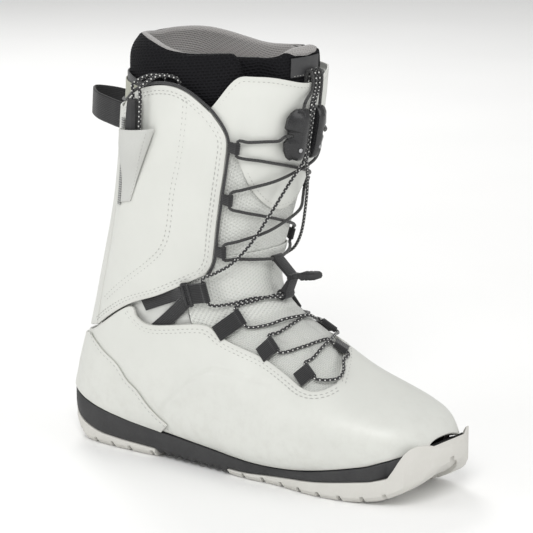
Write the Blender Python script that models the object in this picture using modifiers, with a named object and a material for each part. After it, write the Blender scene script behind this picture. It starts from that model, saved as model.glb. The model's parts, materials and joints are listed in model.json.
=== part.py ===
"""Snowboard boot, right foot: sole unit, lower shell, hinged cuff, tongue, laces, lace lock and liner.
Metres, +Z up, toe towards -Y, the outer (lateral) side towards -X. The ground is z = 0."""

import math

import bmesh
import bpy
import numpy as np
from mathutils import Matrix, Vector

for old in list(bpy.data.objects):
    bpy.data.objects.remove(old, do_unlink=True)
for mesh in list(bpy.data.meshes):
    bpy.data.meshes.remove(mesh)

MM = 0.001
# ---- driving dimensions, in millimetres --------------------------------------------------------
SOLE_LENGTH = 311.0      # heel to toe bumper
HEEL_Y = 156.0           # y of the rearmost point; f below is the distance forward from it
LEATHER = 2.2            # thickness of the synthetic leather panels
MESH_FABRIC = 1.5        # thickness of the tongue mesh
LINER_WALL = 6.5
LACE_D = 2.2             # both laces
CORD_D = 2.4             # handle cords
WEB = 1.5                # webbing thickness
LACE_STEP = 6.9          # length of a straight facet in a lace
TREAD = 3.2              # depth of the grooves in the rubber
ARCH_RIB = 7.4           # pitch of the ribs under the arch
ARCH_FROM, ARCH_TO = 94.5, 158.5   # f between which the midsole is bare and ribbed

# The last: sections fanned from the collar over the ankle to the toe. Each row is
# (rear or sole point f, z), (front or instep point f, z), lateral and medial half width, x shift, roundness
LAST = np.array([
    (53, 300, 201, 294, 57, 57, 0, 2.4, 2.3),
    (53, 262, 199, 262, 57, 57, 0, 2.4, 2.3),
    (51, 225, 193, 228, 57, 56, 0, 2.4, 2.3),
    (46, 185, 180, 194, 55, 54, 0, 2.4, 2.3),
    (36, 145, 171, 160, 52, 51, 0, 2.4, 2.2),
    (26, 112, 167, 140, 49, 48, 0, 2.4, 2.1),
    (16, 80, 170, 126, 45, 44, 0, 2.5, 2.1),
    (6, 48, 178, 118, 43, 42, 0, 2.7, 2.1),
    (6, 20, 188, 112, 42, 41, 0, 3.2, 2.1),
    (40, 12, 197, 107, 42, 40, 0, 4.0, 2.1),
    (90, 11, 208, 101, 43, 39, 1, 4.5, 2.1),
    (135, 11, 222, 92, 48, 42, 2, 4.5, 2.15),
    (180, 10, 238, 80, 54, 48, 3, 4.5, 2.25),
    (222, 12, 255, 70, 53, 51, 5, 4.5, 2.4),
    (260, 16, 273, 62, 45, 46, 7, 4.0, 2.6),
    (288, 22, 289, 56, 34, 35, 8, 3.2, 2.6),
    (306, 30, 303, 44, 19, 19, 9, 2.4, 2.4),
], float)


# ---- the last as a surface: k runs down the sections, v runs round each from the rear over the
# lateral side (0.25), the front (0.5) and the medial side (0.75) ---------------------------------
def hermite(rows, t):
    """Smooth interpolation between the rows at the fractional row numbers t."""
    rows = np.asarray(rows, float)
    n = len(rows)
    t = np.clip(np.asarray(t, float), 0, n - 1 - 1e-9)
    i = np.floor(t).astype(int)
    s = (t - i)[..., None]
    p0, p1 = rows[np.maximum(i - 1, 0)], rows[i]
    p2, p3 = rows[i + 1], rows[np.minimum(i + 2, n - 1)]
    m1, m2 = (p2 - p0) / 2, (p3 - p1) / 2
    return ((2 * s**3 - 3 * s**2 + 1) * p1 + (s**3 - 2 * s**2 + s) * m1
            + (-2 * s**3 + 3 * s**2) * p2 + (s**3 - s**2) * m2)


def last(k, v):
    """Millimetre points (x, f, z) of the last."""
    q = hermite(LAST, k)
    turn = 2 * np.pi * np.asarray(v, float)
    fore, side = -np.cos(turn), np.sin(turn)
    n = np.where(fore < 0, q[..., 7], q[..., 8])
    r = (np.abs(fore)**n + np.abs(side)**n)**(-1 / n)
    half = np.where(side > 0, q[..., 4], q[..., 5])
    a = fore * r
    return np.stack([q[..., 6] - side * r * half,
                     (q[..., 0] + q[..., 2]) / 2 + a * (q[..., 2] - q[..., 0]) / 2,
                     (q[..., 1] + q[..., 3]) / 2 + a * (q[..., 3] - q[..., 1]) / 2], -1)


def outward(k, v):
    """Unit normals of the last."""
    k, v = np.broadcast_arrays(np.asarray(k, float), np.asarray(v, float))
    e = 0.02
    du = last(np.minimum(k + e, 16), v) - last(np.maximum(k - e, 0), v)
    dv = last(k, v + 0.004) - last(k, v - 0.004)
    n = np.cross(du, dv)
    n /= np.maximum(np.linalg.norm(n, axis=-1, keepdims=True), 1e-9)
    q = hermite(LAST, k)
    middle = np.stack([q[..., 6], (q[..., 0] + q[..., 2]) / 2, (q[..., 1] + q[..., 3]) / 2], -1)
    sign = np.sign(((last(k, v) - middle) * n).sum(-1, keepdims=True))
    return n * np.where(sign == 0, 1, sign)


def skin(k, v, off=0.0):
    """Points (x, f, z) at a distance off outside the last."""
    k, v = np.broadcast_arrays(np.asarray(k, float), np.asarray(v, float))
    return last(k, v) + outward(k, v) * np.asarray(off, float)[..., None]


def world(p):
    """Metres in the world from (x, f, z) in millimetres."""
    p = np.asarray(p, float)
    return np.stack([p[..., 0], HEEL_Y - p[..., 1], p[..., 2]], -1) * MM


def step01(x):
    """Smooth step from 0 to 1."""
    x = np.clip(x, 0, 1)
    return x * x * (3 - 2 * x)


def smooth(points, n, even=True):
    """n + 1 points of a smooth curve through the control points, evenly spaced on the last."""
    points = np.asarray(points, float)
    t = np.linspace(0, len(points) - 1, 400)
    fine = hermite(points, t)
    if not even:
        return hermite(points, np.linspace(0, len(points) - 1, n + 1))
    p = last(fine[:, 0], fine[:, 1]) if points.shape[1] == 2 else fine[:, :3]
    s = np.concatenate([[0], np.cumsum(np.linalg.norm(np.diff(p, axis=0), axis=1))])
    return hermite(points, np.interp(np.linspace(0, s[-1], n + 1), s, t))


def coons(low, high, rear, front):
    """Patch in (k, v): low and high run rear to front, rear and front run low to high."""
    a, b = len(rear), len(low)
    s = np.linspace(0, 1, b)[None, :, None]
    t = np.linspace(0, 1, a)[:, None, None]
    low, high, rear, front = (np.asarray(e, float) for e in (low, high, rear, front))
    return ((1 - t) * low[None] + t * high[None] + (1 - s) * rear[:, None] + s * front[:, None]
            - (1 - t) * (1 - s) * low[0] - (1 - t) * s * low[-1] - t * (1 - s) * high[0] - t * s * high[-1])


def medial(kv):
    """The same (k, v) points on the other side."""
    kv = np.array(kv, float)
    kv[..., 1] = 1 - kv[..., 1]
    return kv


# ---- objects ------------------------------------------------------------------------------------
boot = bpy.data.collections.new("snowboard_boot")
bpy.context.scene.collection.children.link(boot)
cutters = bpy.data.collections.new("cutters")
bpy.context.scene.collection.children.link(cutters)


def material(name, colour, rough=0.6, metal=0.0):
    """A plain material with a colour and a roughness."""
    m = bpy.data.materials.new(name)
    m.use_nodes = True
    bsdf = m.node_tree.nodes["Principled BSDF"]
    bsdf.inputs["Base Color"].default_value = (*colour, 1)
    bsdf.inputs["Roughness"].default_value = rough
    bsdf.inputs["Metallic"].default_value = metal
    return m


WHITE = material("white_leather", (0.76, 0.77, 0.74), 0.45)
MESHGREY = material("grey_mesh", (0.60, 0.62, 0.60), 0.8)
POCKET = material("pocket_fabric", (0.62, 0.62, 0.59), 0.75)
EVA = material("midsole_foam", (0.06, 0.06, 0.06), 0.7)
RUBBER = material("outsole_rubber", (0.60, 0.59, 0.55), 0.6)
BLACKMESH = material("liner_mesh", (0.018, 0.016, 0.020), 0.9)
OLIVE = material("olive_panel", (0.29, 0.30, 0.22), 0.7)
WEBBING = material("black_webbing", (0.02, 0.02, 0.02), 0.85)
PLASTIC = material("black_plastic", (0.02, 0.02, 0.02), 0.35)
SOFTRUBBER = material("black_rubber", (0.03, 0.03, 0.03), 0.55)
DARKLACE = material("dark_lace", (0.05, 0.05, 0.045), 0.8)
SPECKLED = material("speckled_lace", (0.12, 0.12, 0.12), 0.8)
STEEL = material("screw_steel", (0.5, 0.5, 0.5), 0.3, 1.0)
BOARD = material("lasting_board", (0.45, 0.36, 0.25), 0.9)
FOAM = material("footbed_foam", (0.10, 0.11, 0.12), 0.9)


def add(name, verts, faces, mat, cutter=False):
    """A mesh object; a cutter is hidden."""
    mesh = bpy.data.meshes.new(name)
    mesh.from_pydata([tuple(float(c) for c in v) for v in verts], [],
                     [tuple(int(i) for i in f) for f in faces])
    mesh.validate()
    obj = bpy.data.objects.new(name, mesh)
    (cutters if cutter else boot).objects.link(obj)
    if cutter:
        obj.hide_render = True
        obj.display_type = "WIRE"
    else:
        mesh.materials.append(mat)
    return obj


def grid_faces(rows, cols, wrap_cols=False, wrap_rows=False):
    """Quads of a grid of points, closed on itself where asked."""
    faces = []
    for i in range(rows if wrap_rows else rows - 1):
        for j in range(cols if wrap_cols else cols - 1):
            a, b = i * cols + j, i * cols + (j + 1) % cols
            c, d = ((i + 1) % rows) * cols + (j + 1) % cols, ((i + 1) % rows) * cols + j
            faces.append((a, b, c, d))
    return faces


def panel(name, kv, off, thick, mat, wrap=False, shape=None, cap=False):
    """A sheet on the last, thickened inwards with Solidify. off is a number or a function of (k, v)."""
    k, v = kv[..., 0], kv[..., 1]
    o = off(k, v) if callable(off) else np.full(k.shape, float(off))
    pts = skin(k, v, o)
    if shape is not None:
        pts = shape(pts, k, v)
    rows, cols = k.shape
    faces = grid_faces(rows, cols, wrap)
    flat = world(pts).reshape(-1, 3)
    ref = outward(k, v).reshape(-1, 3) * np.array([1, -1, 1])
    probe = faces[len(faces) // 2]
    n = np.cross(flat[probe[1]] - flat[probe[0]], flat[probe[3]] - flat[probe[0]])
    if (n * ref[probe[0]]).sum() < 0:
        faces = [f[::-1] for f in faces]
    if cap:
        # close the last row with one shrunken ring and a fan
        ring = flat[-cols:]
        middle = ring.mean(0)
        inner = middle + (ring - middle) * 0.55 + np.array([0, -1.5 * MM, 0])
        tip = middle + np.array([0, -2.2 * MM, 0])
        base, top = len(flat) - cols, len(flat)
        flat = np.concatenate([flat, inner, tip[None]])
        outwards = faces[0][0] > faces[0][1]
        for j in range(cols):
            q = (base + j, base + (j + 1) % cols, top + (j + 1) % cols, top + j)
            t = (top + j, top + (j + 1) % cols, top + cols)
            faces += [q[::-1], t[::-1]] if outwards else [q, t]
    obj = add(name, flat, faces, mat)
    if cap:
        fix_normals(obj)
    m = obj.modifiers.new("thickness", "SOLIDIFY")
    m.thickness, m.offset, m.use_even_offset = thick * MM, -1, True
    return obj


def fix_normals(obj):
    """All faces turned outwards."""
    bm = bmesh.new()
    bm.from_mesh(obj.data)
    bmesh.ops.recalc_face_normals(bm, faces=bm.faces)
    bm.to_mesh(obj.data)
    bm.free()


def loft(name, slices, mat):
    """Closed body through rings of equal count, with flat ends."""
    slices = np.asarray(slices, float)
    rows, cols = slices.shape[:2]
    faces = grid_faces(rows, cols, True)
    faces += [tuple(range(cols - 1, -1, -1)), tuple(range((rows - 1) * cols, rows * cols))]
    obj = add(name, world(slices).reshape(-1, 3), faces, mat)
    fix_normals(obj)
    return obj


def tube(name, pts, diameter, mat, resolution=2):
    """Round cord along points (x, f, z)."""
    curve = bpy.data.curves.new(name, "CURVE")
    curve.dimensions = "3D"
    curve.bevel_depth = diameter / 2 * MM
    curve.bevel_resolution = resolution
    curve.use_fill_caps = True
    spline = curve.splines.new("POLY")
    p = world(pts)
    spline.points.add(len(p) - 1)
    for q, c in zip(spline.points, p):
        q.co = (*c, 1)
    obj = bpy.data.objects.new(name, curve)
    curve.materials.append(mat)
    boot.objects.link(obj)
    return obj


def even(path, step):
    """Points of a smooth curve through 3-D control points, about step mm apart."""
    path = np.asarray(path, float)
    t = np.linspace(0, len(path) - 1, 40 * len(path))
    fine = hermite(path, t)
    s = np.concatenate([[0], np.cumsum(np.linalg.norm(np.diff(fine, axis=0), axis=1))])
    n = max(2, int(round(s[-1] / step)))
    return hermite(path, np.interp(np.linspace(0, s[-1], n + 1), s, t))


def ribbon(name, centre, across, width, thick, mat):
    """Webbing: a flat strip, its width along the across vectors; centre is its middle plane."""
    centre, across = np.asarray(centre, float), np.asarray(across, float)
    across = across / np.linalg.norm(across, axis=-1, keepdims=True)
    rows = np.stack([centre + across * width / 2 * s for s in (-1, 0, 1)], 1)
    obj = add(name, world(rows).reshape(-1, 3), grid_faces(len(centre), 3), mat)
    m = obj.modifiers.new("thickness", "SOLIDIFY")
    m.thickness, m.offset, m.use_even_offset = thick * MM, 0, True
    return obj


def cut(obj, cutter_obj, operation="DIFFERENCE"):
    """One Boolean of obj with cutter_obj."""
    m = obj.modifiers.new("cut", "BOOLEAN")
    m.object, m.operation, m.solver = cutter_obj, operation, "EXACT"


def cutter_box(name, centre, size):
    """Hidden block round centre (x, f, z), for a Boolean."""
    half_size = np.asarray(size, float) / 2
    signs = [(sx, sy, sz) for sz in (-1, 1) for sy in (-1, 1) for sx in (-1, 1)]
    faces = [(0, 2, 3, 1), (4, 5, 7, 6), (0, 1, 5, 4), (2, 6, 7, 3), (0, 4, 6, 2), (1, 3, 7, 5)]
    obj = add(name, world(np.asarray(centre, float) + half_size * np.array(signs)), faces, None,
              cutter=True)
    fix_normals(obj)
    return obj


def rod(name, a, b, radius):
    """Hidden round bar from a to b (x, f, z), for a Boolean."""
    bpy.ops.mesh.primitive_cylinder_add(vertices=12, radius=radius * MM, depth=1)
    obj = bpy.context.object
    obj.name = name
    for c in list(obj.users_collection):
        c.objects.unlink(obj)
    cutters.objects.link(obj)
    obj.hide_render = True
    obj.display_type = "WIRE"
    start, end = Vector(world(a)), Vector(world(b))
    turn = (end - start).to_track_quat("Z", "Y").to_matrix().to_4x4()
    stretch = Matrix.Diagonal((1, 1, (end - start).length, 1))
    obj.matrix_world = Matrix.Translation((start + end) / 2) @ turn @ stretch
    return obj


# ---- sole unit: lofted across the foot, from heel to toe -----------------------------------------
def rule(f, points):
    """Smooth height over f through the given (f, height) points."""
    points = np.array(points, float)
    t = np.interp(f, points[:, 0], np.arange(len(points)))
    return hermite(points, t)[..., 1]


def band_top(f):
    """Where the upper meets the midsole."""
    return rule(f, [(0, 38.5), (12, 35), (28, 30), (47, 25.5), (80, 21), (110, 18), (145, 15),
                    (178, 13), (200, 13),
                    (232, 17.5), (270, 25.5), (292, 34), (306, 42), (312, 44)])


def band_low(f):
    """Where the midsole meets the rubber."""
    return rule(f, [(0, 37), (4, 34), (8, 27), (12, 21), (18, 16.2), (28, 12), (42, 8.5), (61, 7),
                    (84, 6), (120, 5),
                    (158, 4.2), (181, 5), (231, 9.7), (272, 15.8), (292, 22), (304, 29), (312, 33)])


def floor_z(f):
    """The flat inside the midsole that carries the foot."""
    return np.minimum(rule(f, [(0, 23), (60, 20.5), (110, 15.5), (160, 12.2), (200, 11.2), (240, 14),
                               (275, 19),
                               (300, 25), (312, 28)]), band_top(f) - 1.5)


def feather(k):
    """v on the lateral side where the last reaches the top of the midsole, for each k."""
    lo, hi = np.zeros_like(k), np.full_like(k, 0.5)
    for _ in range(40):
        mid = (lo + hi) / 2
        p = last(k, mid)
        high = p[..., 2] > band_top(p[..., 1])
        hi, lo = np.where(high, mid, hi), np.where(high, lo, mid)
    return (lo + hi) / 2


def heel_start():
    """k at which the back of the last reaches the top of the midsole."""
    lo, hi = 6.0, 8.0
    for _ in range(40):
        mid = (lo + hi) / 2
        p = last(mid, 0.0)
        lo, hi = (mid, hi) if p[2] > band_top(p[1]) else (lo, mid)
    return lo


K0 = heel_start()
ring_k = K0 + (16 - K0) * (1 - np.cos(np.linspace(0, np.pi, 90))) / 2
ring_v = feather(ring_k)
ring_v[0] = 0.0
ring_l, ring_m = last(ring_k, ring_v), last(ring_k, 1 - ring_v)


def outline(side, grow=1.0, toe=6.5):
    """Plan outline of the sole, as (f, x) on one side: the feather line pushed out, more round the toe."""
    ring = ring_l if side < 0 else ring_m
    tip = 0.5 * (ring_l[-1] + ring_m[-1])
    p = np.concatenate([ring[:, [1, 0]], [[tip[1] + 0.8, tip[0]]]])
    d = np.gradient(p, axis=0)
    n = np.stack([-d[:, 1], d[:, 0]], 1) * side
    n /= np.linalg.norm(n, axis=1, keepdims=True)
    n[0], n[-1] = (-1, 0), (1, 0)
    amount = grow + (toe - grow) * step01((p[:, 0] - 262) / 42)
    q = p + n * amount[:, None]
    keep = np.concatenate([[True], np.diff(np.maximum.accumulate(q[:, 0])) > 1e-6])
    q = q[keep]
    # the toe ends as a rounded arc to the full length
    start, tip_f, tip_x = 284.0, SOLE_LENGTH, tip[0] - 1.0
    x0 = np.interp(start, q[:, 0], q[:, 1])
    f = tip_f - (tip_f - start) * (1 - np.sin(np.linspace(0, np.pi / 2, 24)))
    arc = np.stack([f, tip_x + (x0 - tip_x) * (1 - ((f - start) / (tip_f - start))**2.3)**(1 / 2.3)], 1)
    return np.concatenate([q[q[:, 0] < start - 0.5], arc])


OUT_L, OUT_M = outline(-1), outline(1)
REAR = max(OUT_L[0, 0], OUT_M[0, 0])


def half(f, side, inset=0.0):
    """x of the sole edge at f, moved in by inset (measured square to the edge)."""
    out = OUT_L if side < 0 else OUT_M
    e = 0.4
    x = np.interp(f, out[:, 0], out[:, 1])
    slope = (np.interp(f + e, out[:, 0], out[:, 1]) - np.interp(f - e, out[:, 0], out[:, 1])) / (2 * e)
    return x - side * inset * np.sqrt(1 + np.clip(slope, -3, 3)**2)


def spread(f0, f1, n, ends=(True, True)):
    """n values from f0 to f1, closer together at the ends marked True."""
    t = np.linspace(0, 1, n)
    if ends == (True, True):
        t = (1 - np.cos(np.pi * t)) / 2
    elif ends == (True, False):
        t = 1 - np.cos(np.pi / 2 * t)
    elif ends == (False, True):
        t = np.sin(np.pi / 2 * t)
    return f0 + (f1 - f0) * t


def tray(f, low, rim, deck, tuck, inset):
    """One cross-section of the midsole: bottom, outer wall, rim and inner deck."""
    l, m = half(f, -1, inset), half(f, 1, inset)
    wide = max(m - l, 0.5)
    r = min(4.2, wide * 0.22)
    t = min(tuck, wide * 0.12)
    foot = low + min(2.0, (rim - low) * 0.35)
    chamfer = 0.7 * min(1, r)
    right = [(l + t, f, low), (l, f, foot), (l, f, rim - 0.6), (l + chamfer, f, rim), (l + r, f, rim),
             (l + r * 1.25, f, deck)]
    left = [(m - r * 1.25, f, deck), (m - r, f, rim), (m - chamfer, f, rim), (m, f, rim - 0.6),
            (m, f, foot), (m - t, f, low)]
    return right + left + [(m - t - wide * 0.18, f, low), (l + t + wide * 0.18, f, low)]


rib_f = [[a, a + 1.2, a + 3.4, a + 4.6] for a in np.arange(95, 156, ARCH_RIB)]
MID_F = sorted(set(np.round(np.concatenate([
    spread(REAR + 0.35, 92, 20, (True, False)), spread(160, 299.0, 24, (False, True)),
    np.concatenate(rib_f)]), 2)))

mid_slices = []
for f in MID_F:
    low = band_low(f) + 0.45
    if ARCH_FROM < f < ARCH_TO:
        low -= 2.6 if 1.1 < (f - 95) % ARCH_RIB < 3.5 else 1.2
    top = band_top(f)
    at_end = f < REAR + 4.0 or f > 297.0
    deck = top if at_end else min(floor_z(f), top)
    mid_slices.append(tray(f, low, top, deck, 1.0, 4.3 * step01((f - 277) / 6)))
loft("midsole", mid_slices, EVA)


def tread(f0, f1, grooves, stations, ground_rule, edge_rule, name, rim_rule=None):
    """Rubber slab with blocks between cross grooves and one wide groove down the middle."""
    beside_grooves = {round(x, 2) for g in grooves for x in (g - 1.6, g - 1.1, g + 1.1, g + 1.6)}
    slices = []
    for f in sorted(set(np.round(stations, 2)) | beside_grooves):
        if not f0 <= f <= f1:
            continue
        l, m = half(f, -1, edge_rule(f)), half(f, 1, edge_rule(f))
        wide = m - l
        t = min(2.6, wide * 0.15)
        ground = ground_rule(f)
        top = band_low(f)
        rim = max(top, rim_rule(f)) if rim_rule else top
        if rim_rule and f > SOLE_LENGTH - 3.6:
            top = rim
        r = min(3.0, wide * 0.2)
        base = ground + TREAD if ground + TREAD + 0.2 < top else max(ground, top - 0.4)
        block = ground if not any(abs(f - g) < 1.2 for g in grooves) else base
        shares = [0.0, 0.235, 0.255, 0.49, 0.51, 0.745, 0.765, 1.0]
        heights = [block, block, base, base, base, base, block, block]
        ring = [(l + t + (wide - 2 * t) * s, f, z) for s, z in zip(shares, heights)]
        lift = min(top - 0.3, max(block + 0.2, ground + 2.5))
        wall = min(rim - 0.3, lift + 0.6)
        lip = rim if rim > top + 0.3 else top
        ring += [(m, f, wall), (m, f, rim - 0.2), (m - r * 0.4, f, rim), (m - r, f, lip),
                 (m - r * 1.05, f, top),
                 (l + r * 1.05, f, top), (l + r, f, lip), (l + r * 0.4, f, rim), (l, f, rim - 0.2),
                 (l, f, wall)]
        slices.append(ring)
    return loft(name, slices, RUBBER)


def heel_ground(f):
    """The heel's rounded back edge lifts off the ground."""
    return 15.0 * (1 - step01((f - REAR) / 27))


def toe_ground(f):
    """The toe spring of the forefoot rubber."""
    return rule(f, [(158, 0.6), (166, 0), (200, 0), (240, 0), (262, 0.6), (280, 4), (294, 10.5),
                    (304, 18.5), (312, 29)])


def bumper(f):
    """The rubber rises in front of the toe."""
    return band_low(f) + (43.5 - band_low(f)) * step01((f - 284) / 20) - 4.5 * step01((f - 305.5) / 6)


tread(REAR, 93, [22, 38, 54, 70, 90], np.concatenate([spread(REAR + 0.15, 92.4, 18, (True, False)),
                                                      [92.9]]),
      heel_ground, lambda f: 0.4, "outsole_heel")
tread(158, SOLE_LENGTH, [172, 188, 204, 220, 236, 252, 268, 284],
      np.concatenate([[158.5], spread(160, SOLE_LENGTH - 0.25, 34, (False, True))]),
      toe_ground, lambda f: 0.3, "outsole_forefoot", rim_rule=bumper)

# lasting board on the midsole floor
board = []
for f in spread(13, 290, 22):
    z = floor_z(f) + 0.3
    tuck_in = 7.0 + 4.6 * step01((f - 268) / 8)
    l, m = half(f, -1, tuck_in), half(f, 1, tuck_in)
    if m - l < 6:
        c = (l + m) / 2
        l, m = c - 3, c + 3
    board.append([(l, f, z), (m, f, z), (m, f, z + 2.2), (l, f, z + 2.2)])
loft("lasting_board", board, BOARD)

# ---- upper: lower shell, heel counter ------------------------------------------------------------
# throat line of the lower shell: heel centre, V apex, instep, toe end of the throat
TOP_L = [(6.08, 0.0), (6.1, 0.07), (6.08, 0.137), (5.62, 0.213), (6.02, 0.231), (6.36, 0.255),
         (6.91, 0.332), (7.87, 0.350),
         (9.3, 0.358), (11.14, 0.361), (11.8, 0.369), (12.12, 0.392), (12.16, 0.425)]
TOP_M = [(6.08, 1.0), (6.1, 0.93), (6.08, 0.863), (5.62, 0.787), (6.02, 0.769), (6.36, 0.745),
         (6.91, 0.66), (7.87, 0.625),
         (9.3, 0.600), (10.3, 0.575), (10.9, 0.535), (11.35, 0.495), (11.85, 0.452), (12.16, 0.425)]


def feather_path(side, n):
    """(k, v) along the feather line from heel centre to toe centre, just above the midsole."""
    k = np.concatenate([[K0 - 0.012], ring_k[1:]])
    v = np.concatenate([[0.0], ring_v[1:] + 0.0035])
    kv = np.stack([k, v], 1)
    kv = np.concatenate([kv[::3], [[16, 0.5]]])
    return smooth(kv if side < 0 else medial(kv), n)


def shell_rows(low, top, rows):
    """Rows of (k, v) from one line to another with as many points."""
    t = np.linspace(0, 1, rows)[:, None, None]
    return (1 - t) * low[None] + t * top[None]


def paced(points, n, share):
    """Resample control points so that given control indices fall at given shares of the run."""
    index, at = zip(*share)
    return hermite(points, np.interp(np.linspace(0, 1, n + 1), at, index))


COLS = 32
low_l, low_m = feather_path(-1, COLS), feather_path(1, COLS)
top_l = paced(TOP_L, COLS, [(0, 0), (2, 0.10), (3, 0.20), (5, 0.26), (6, 0.35), (8, 0.50), (9, 0.62),
                            (12, 1.0)])
top_m = paced(TOP_M, COLS, [(0, 0), (2, 0.10), (3, 0.20), (5, 0.26), (6, 0.35), (8, 0.48), (10, 0.60),
                            (11, 0.68), (13, 1.0)])
lat = shell_rows(low_l, top_l, 8)
med = shell_rows(low_m, top_m, 8)
ring = np.concatenate([lat[:, :-1], med[:, ::-1][:, :-1]], axis=1)

panel("shell_lower", ring, 0.0, LEATHER, WHITE, wrap=True)

HEEL_SEAM = [(6.13, 0.126), (6.62, 0.161), (7.43, 0.200), (8.3, 0.206), (9.0, 0.19), (9.65, 0.166),
             (10.00, 0.1525), (10.22, 0.1440)]
lo = feather_path(-1, 200)
end = np.argmin(np.abs(lo[:, 0] - 10.24))
lo_run = smooth(lo[:end + 1:6], 16)
top_run = np.concatenate([smooth([(6.2, 0.0), (6.2, 0.06), (6.2, 0.112)], 4),
                          smooth([(6.2, 0.124)] + HEEL_SEAM[1:], 11)])
lo_run[:, 0] -= 0.05 * (1 - np.linspace(0, 1, 17))
strip_l = shell_rows(lo_run[:16], top_run[:16], 4)
strip = np.concatenate([medial(strip_l)[:, ::-1][:, :-1], strip_l], axis=1)
panel("heel_counter", strip, 1.9, 1.2, WHITE)


# ---- cuff: lateral, medial and rear panels, lining, binding, back tab ------------------------------
REAR_EDGE = [(6.02, 0.1395), (5.37, 0.1395), (4.35, 0.1405), (3.4, 0.139), (2.4, 0.136), (1.45, 0.132)]
CUFF_TOP = [(1.45, 0.132), (1.12, 0.167), (0.93, 0.202), (0.86, 0.245), (0.97, 0.282), (1.30, 0.320)]
CUFF_FRONT = [(4.86, 0.354), (4.4, 0.3635), (3.49, 0.360), (3.0, 0.358), (2.29, 0.352), (1.75, 0.346),
              (1.30, 0.320)]
CUFF_LOW = [(6.02, 0.1395), (5.55, 0.212), (5.34, 0.278), (4.86, 0.354)]


def cuff_patch():
    """The side of the cuff as a grid of (k, v)."""
    return coons(smooth(CUFF_LOW, 11), smooth(CUFF_TOP, 11), smooth(REAR_EDGE, 13),
                 smooth(CUFF_FRONT, 13))


patch = cuff_patch()
panel("cuff_lateral", patch, 0.0, LEATHER, WHITE)
panel("cuff_medial", medial(patch), 0.0, LEATHER, WHITE)

side = smooth(REAR_EDGE, 12)
side[:, 1] -= 0.0016
side[0, 0] = 6.0
rear = np.stack([np.stack([side[:, 0], side[:, 1] * s], -1) for s in np.linspace(-1, 1, 9)], 1)
panel("cuff_rear", rear, 0.0, LEATHER, WHITE)

tab = np.stack([np.stack([np.linspace(2.0, top, 5), np.full(5, v)], -1)
                for v, top in zip(np.linspace(-0.20, 0.20, 15),
                                  0.93 + 0.08 * np.abs(np.linspace(-1, 1, 15))**3)], 1)
panel("back_tab", tab, -3.1, 0.8, OLIVE)

v_line = np.linspace(-0.288, 0.288, 21)
top_line = np.interp(np.abs(v_line), [0, 0.13, 0.18, 0.21, 0.27, 0.288],
                     [0.80, 0.82, 0.90, 1.0, 1.03, 1.03])
lining = np.stack([np.stack([np.linspace(2.0, t, 4), np.full(4, v)], -1) for v,
                   t in zip(v_line, top_line)], 1)
panel("cuff_lining", lining, -4.3, 0.9, WEBBING)


def edge_path(kv, beside, off):
    """3-D points beside an edge: moved by beside mm in the surface, square to the edge."""
    kv = np.asarray(kv, float)
    p = skin(kv[:, 0], kv[:, 1], off)
    n = outward(kv[:, 0], kv[:, 1])
    t = np.gradient(p, axis=0)
    s = np.cross(t, n)
    s /= np.linalg.norm(s, axis=1, keepdims=True)
    return p + s * beside


front_up = smooth(CUFF_FRONT, 40)
top_back = smooth(CUFF_TOP, 24)[::-1][1:]
bind_l = np.concatenate([front_up, top_back])
BINDING_GAP = 1.65


def binding(side):
    """The black edging beside the front and top edges of one side panel, up to the middle of the back."""
    kv = bind_l if side < 0 else medial(bind_l)
    along_edge = edge_path(kv, BINDING_GAP * side, -LEATHER / 2)[:-2]
    v = np.linspace(0.118, 0.0, 9)[1:]
    behind = skin(np.full(8, 1.36), v if side < 0 else 1 - v, -LEATHER / 2)
    return np.concatenate([along_edge, behind])


left, right = binding(-1), binding(1)
tube("cuff_binding", even(np.concatenate([left, right[::-1][1:]])[::2], 6.0), 1.9, WEBBING, 1)

# ---- pockets for the lace handles, with a zip-like edge tape ----------------------------------------
POCKET_CORNERS = [(3.15, 0.163), (3.10, 0.189), (1.70, 0.226), (1.80, 0.150)]


def bilinear(c, rows, cols):
    """Grid of (k, v) inside four corners."""
    c = np.asarray(c, float)
    s = np.linspace(0, 1, cols)[None, :, None]
    t = np.linspace(0, 1, rows)[:, None, None]
    return (1 - t) * ((1 - s) * c[0] + s * c[1]) + t * ((1 - s) * c[3] + s * c[2])


def pouch(k, v):
    """Pocket bulge: open at the mouth, flat at the seams."""
    rows, cols = k.shape
    s = np.linspace(0, 1, cols)[None, :] * np.ones((rows, 1))
    t = np.linspace(0, 1, rows)[:, None] * np.ones((1, cols))
    across = (1 - (2 * s - 1)**2)**0.6
    return 1.35 + 9.4 * across * step01((t - 0.12) / 0.72)


pocket = bilinear(POCKET_CORNERS, 9, 9)
panel("pocket_lateral", pocket, pouch, 1.0, POCKET)
panel("pocket_medial", medial(pocket), pouch, 1.0, POCKET)
zip_kv = np.stack([np.stack([np.linspace(3.2, 1.62, 12), np.linspace(0.1570, 0.1430, 12) + d], -1)
                   for d in (-0.0045, 0.0045)], 1)
panel("pocket_zip_lateral", zip_kv, 1.5, 1.1, POCKET)
panel("pocket_zip_medial", medial(zip_kv), 1.5, 1.1, POCKET)


# ---- tongue ------------------------------------------------------------------------------------------
def medial_edge(k):
    """v of the medial edge of the throat."""
    return np.interp(k, [5, 7.87, 9.3, 10.3, 10.9, 11.35, 11.85, 12.16],
                     [0.637, 0.625, 0.600, 0.575, 0.535, 0.495, 0.452, 0.425])


def tongue_off(k, v):
    """The tongue fills the throat nearly flush and dives under the edges of cuff and shell."""
    sides = step01((v - 0.364) / 0.03) * step01((medial_edge(k) - 0.008 - v) / 0.03)
    rise = sides * step01((11.95 - k) / 0.5)
    return -2.75 + 2.15 * rise


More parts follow.
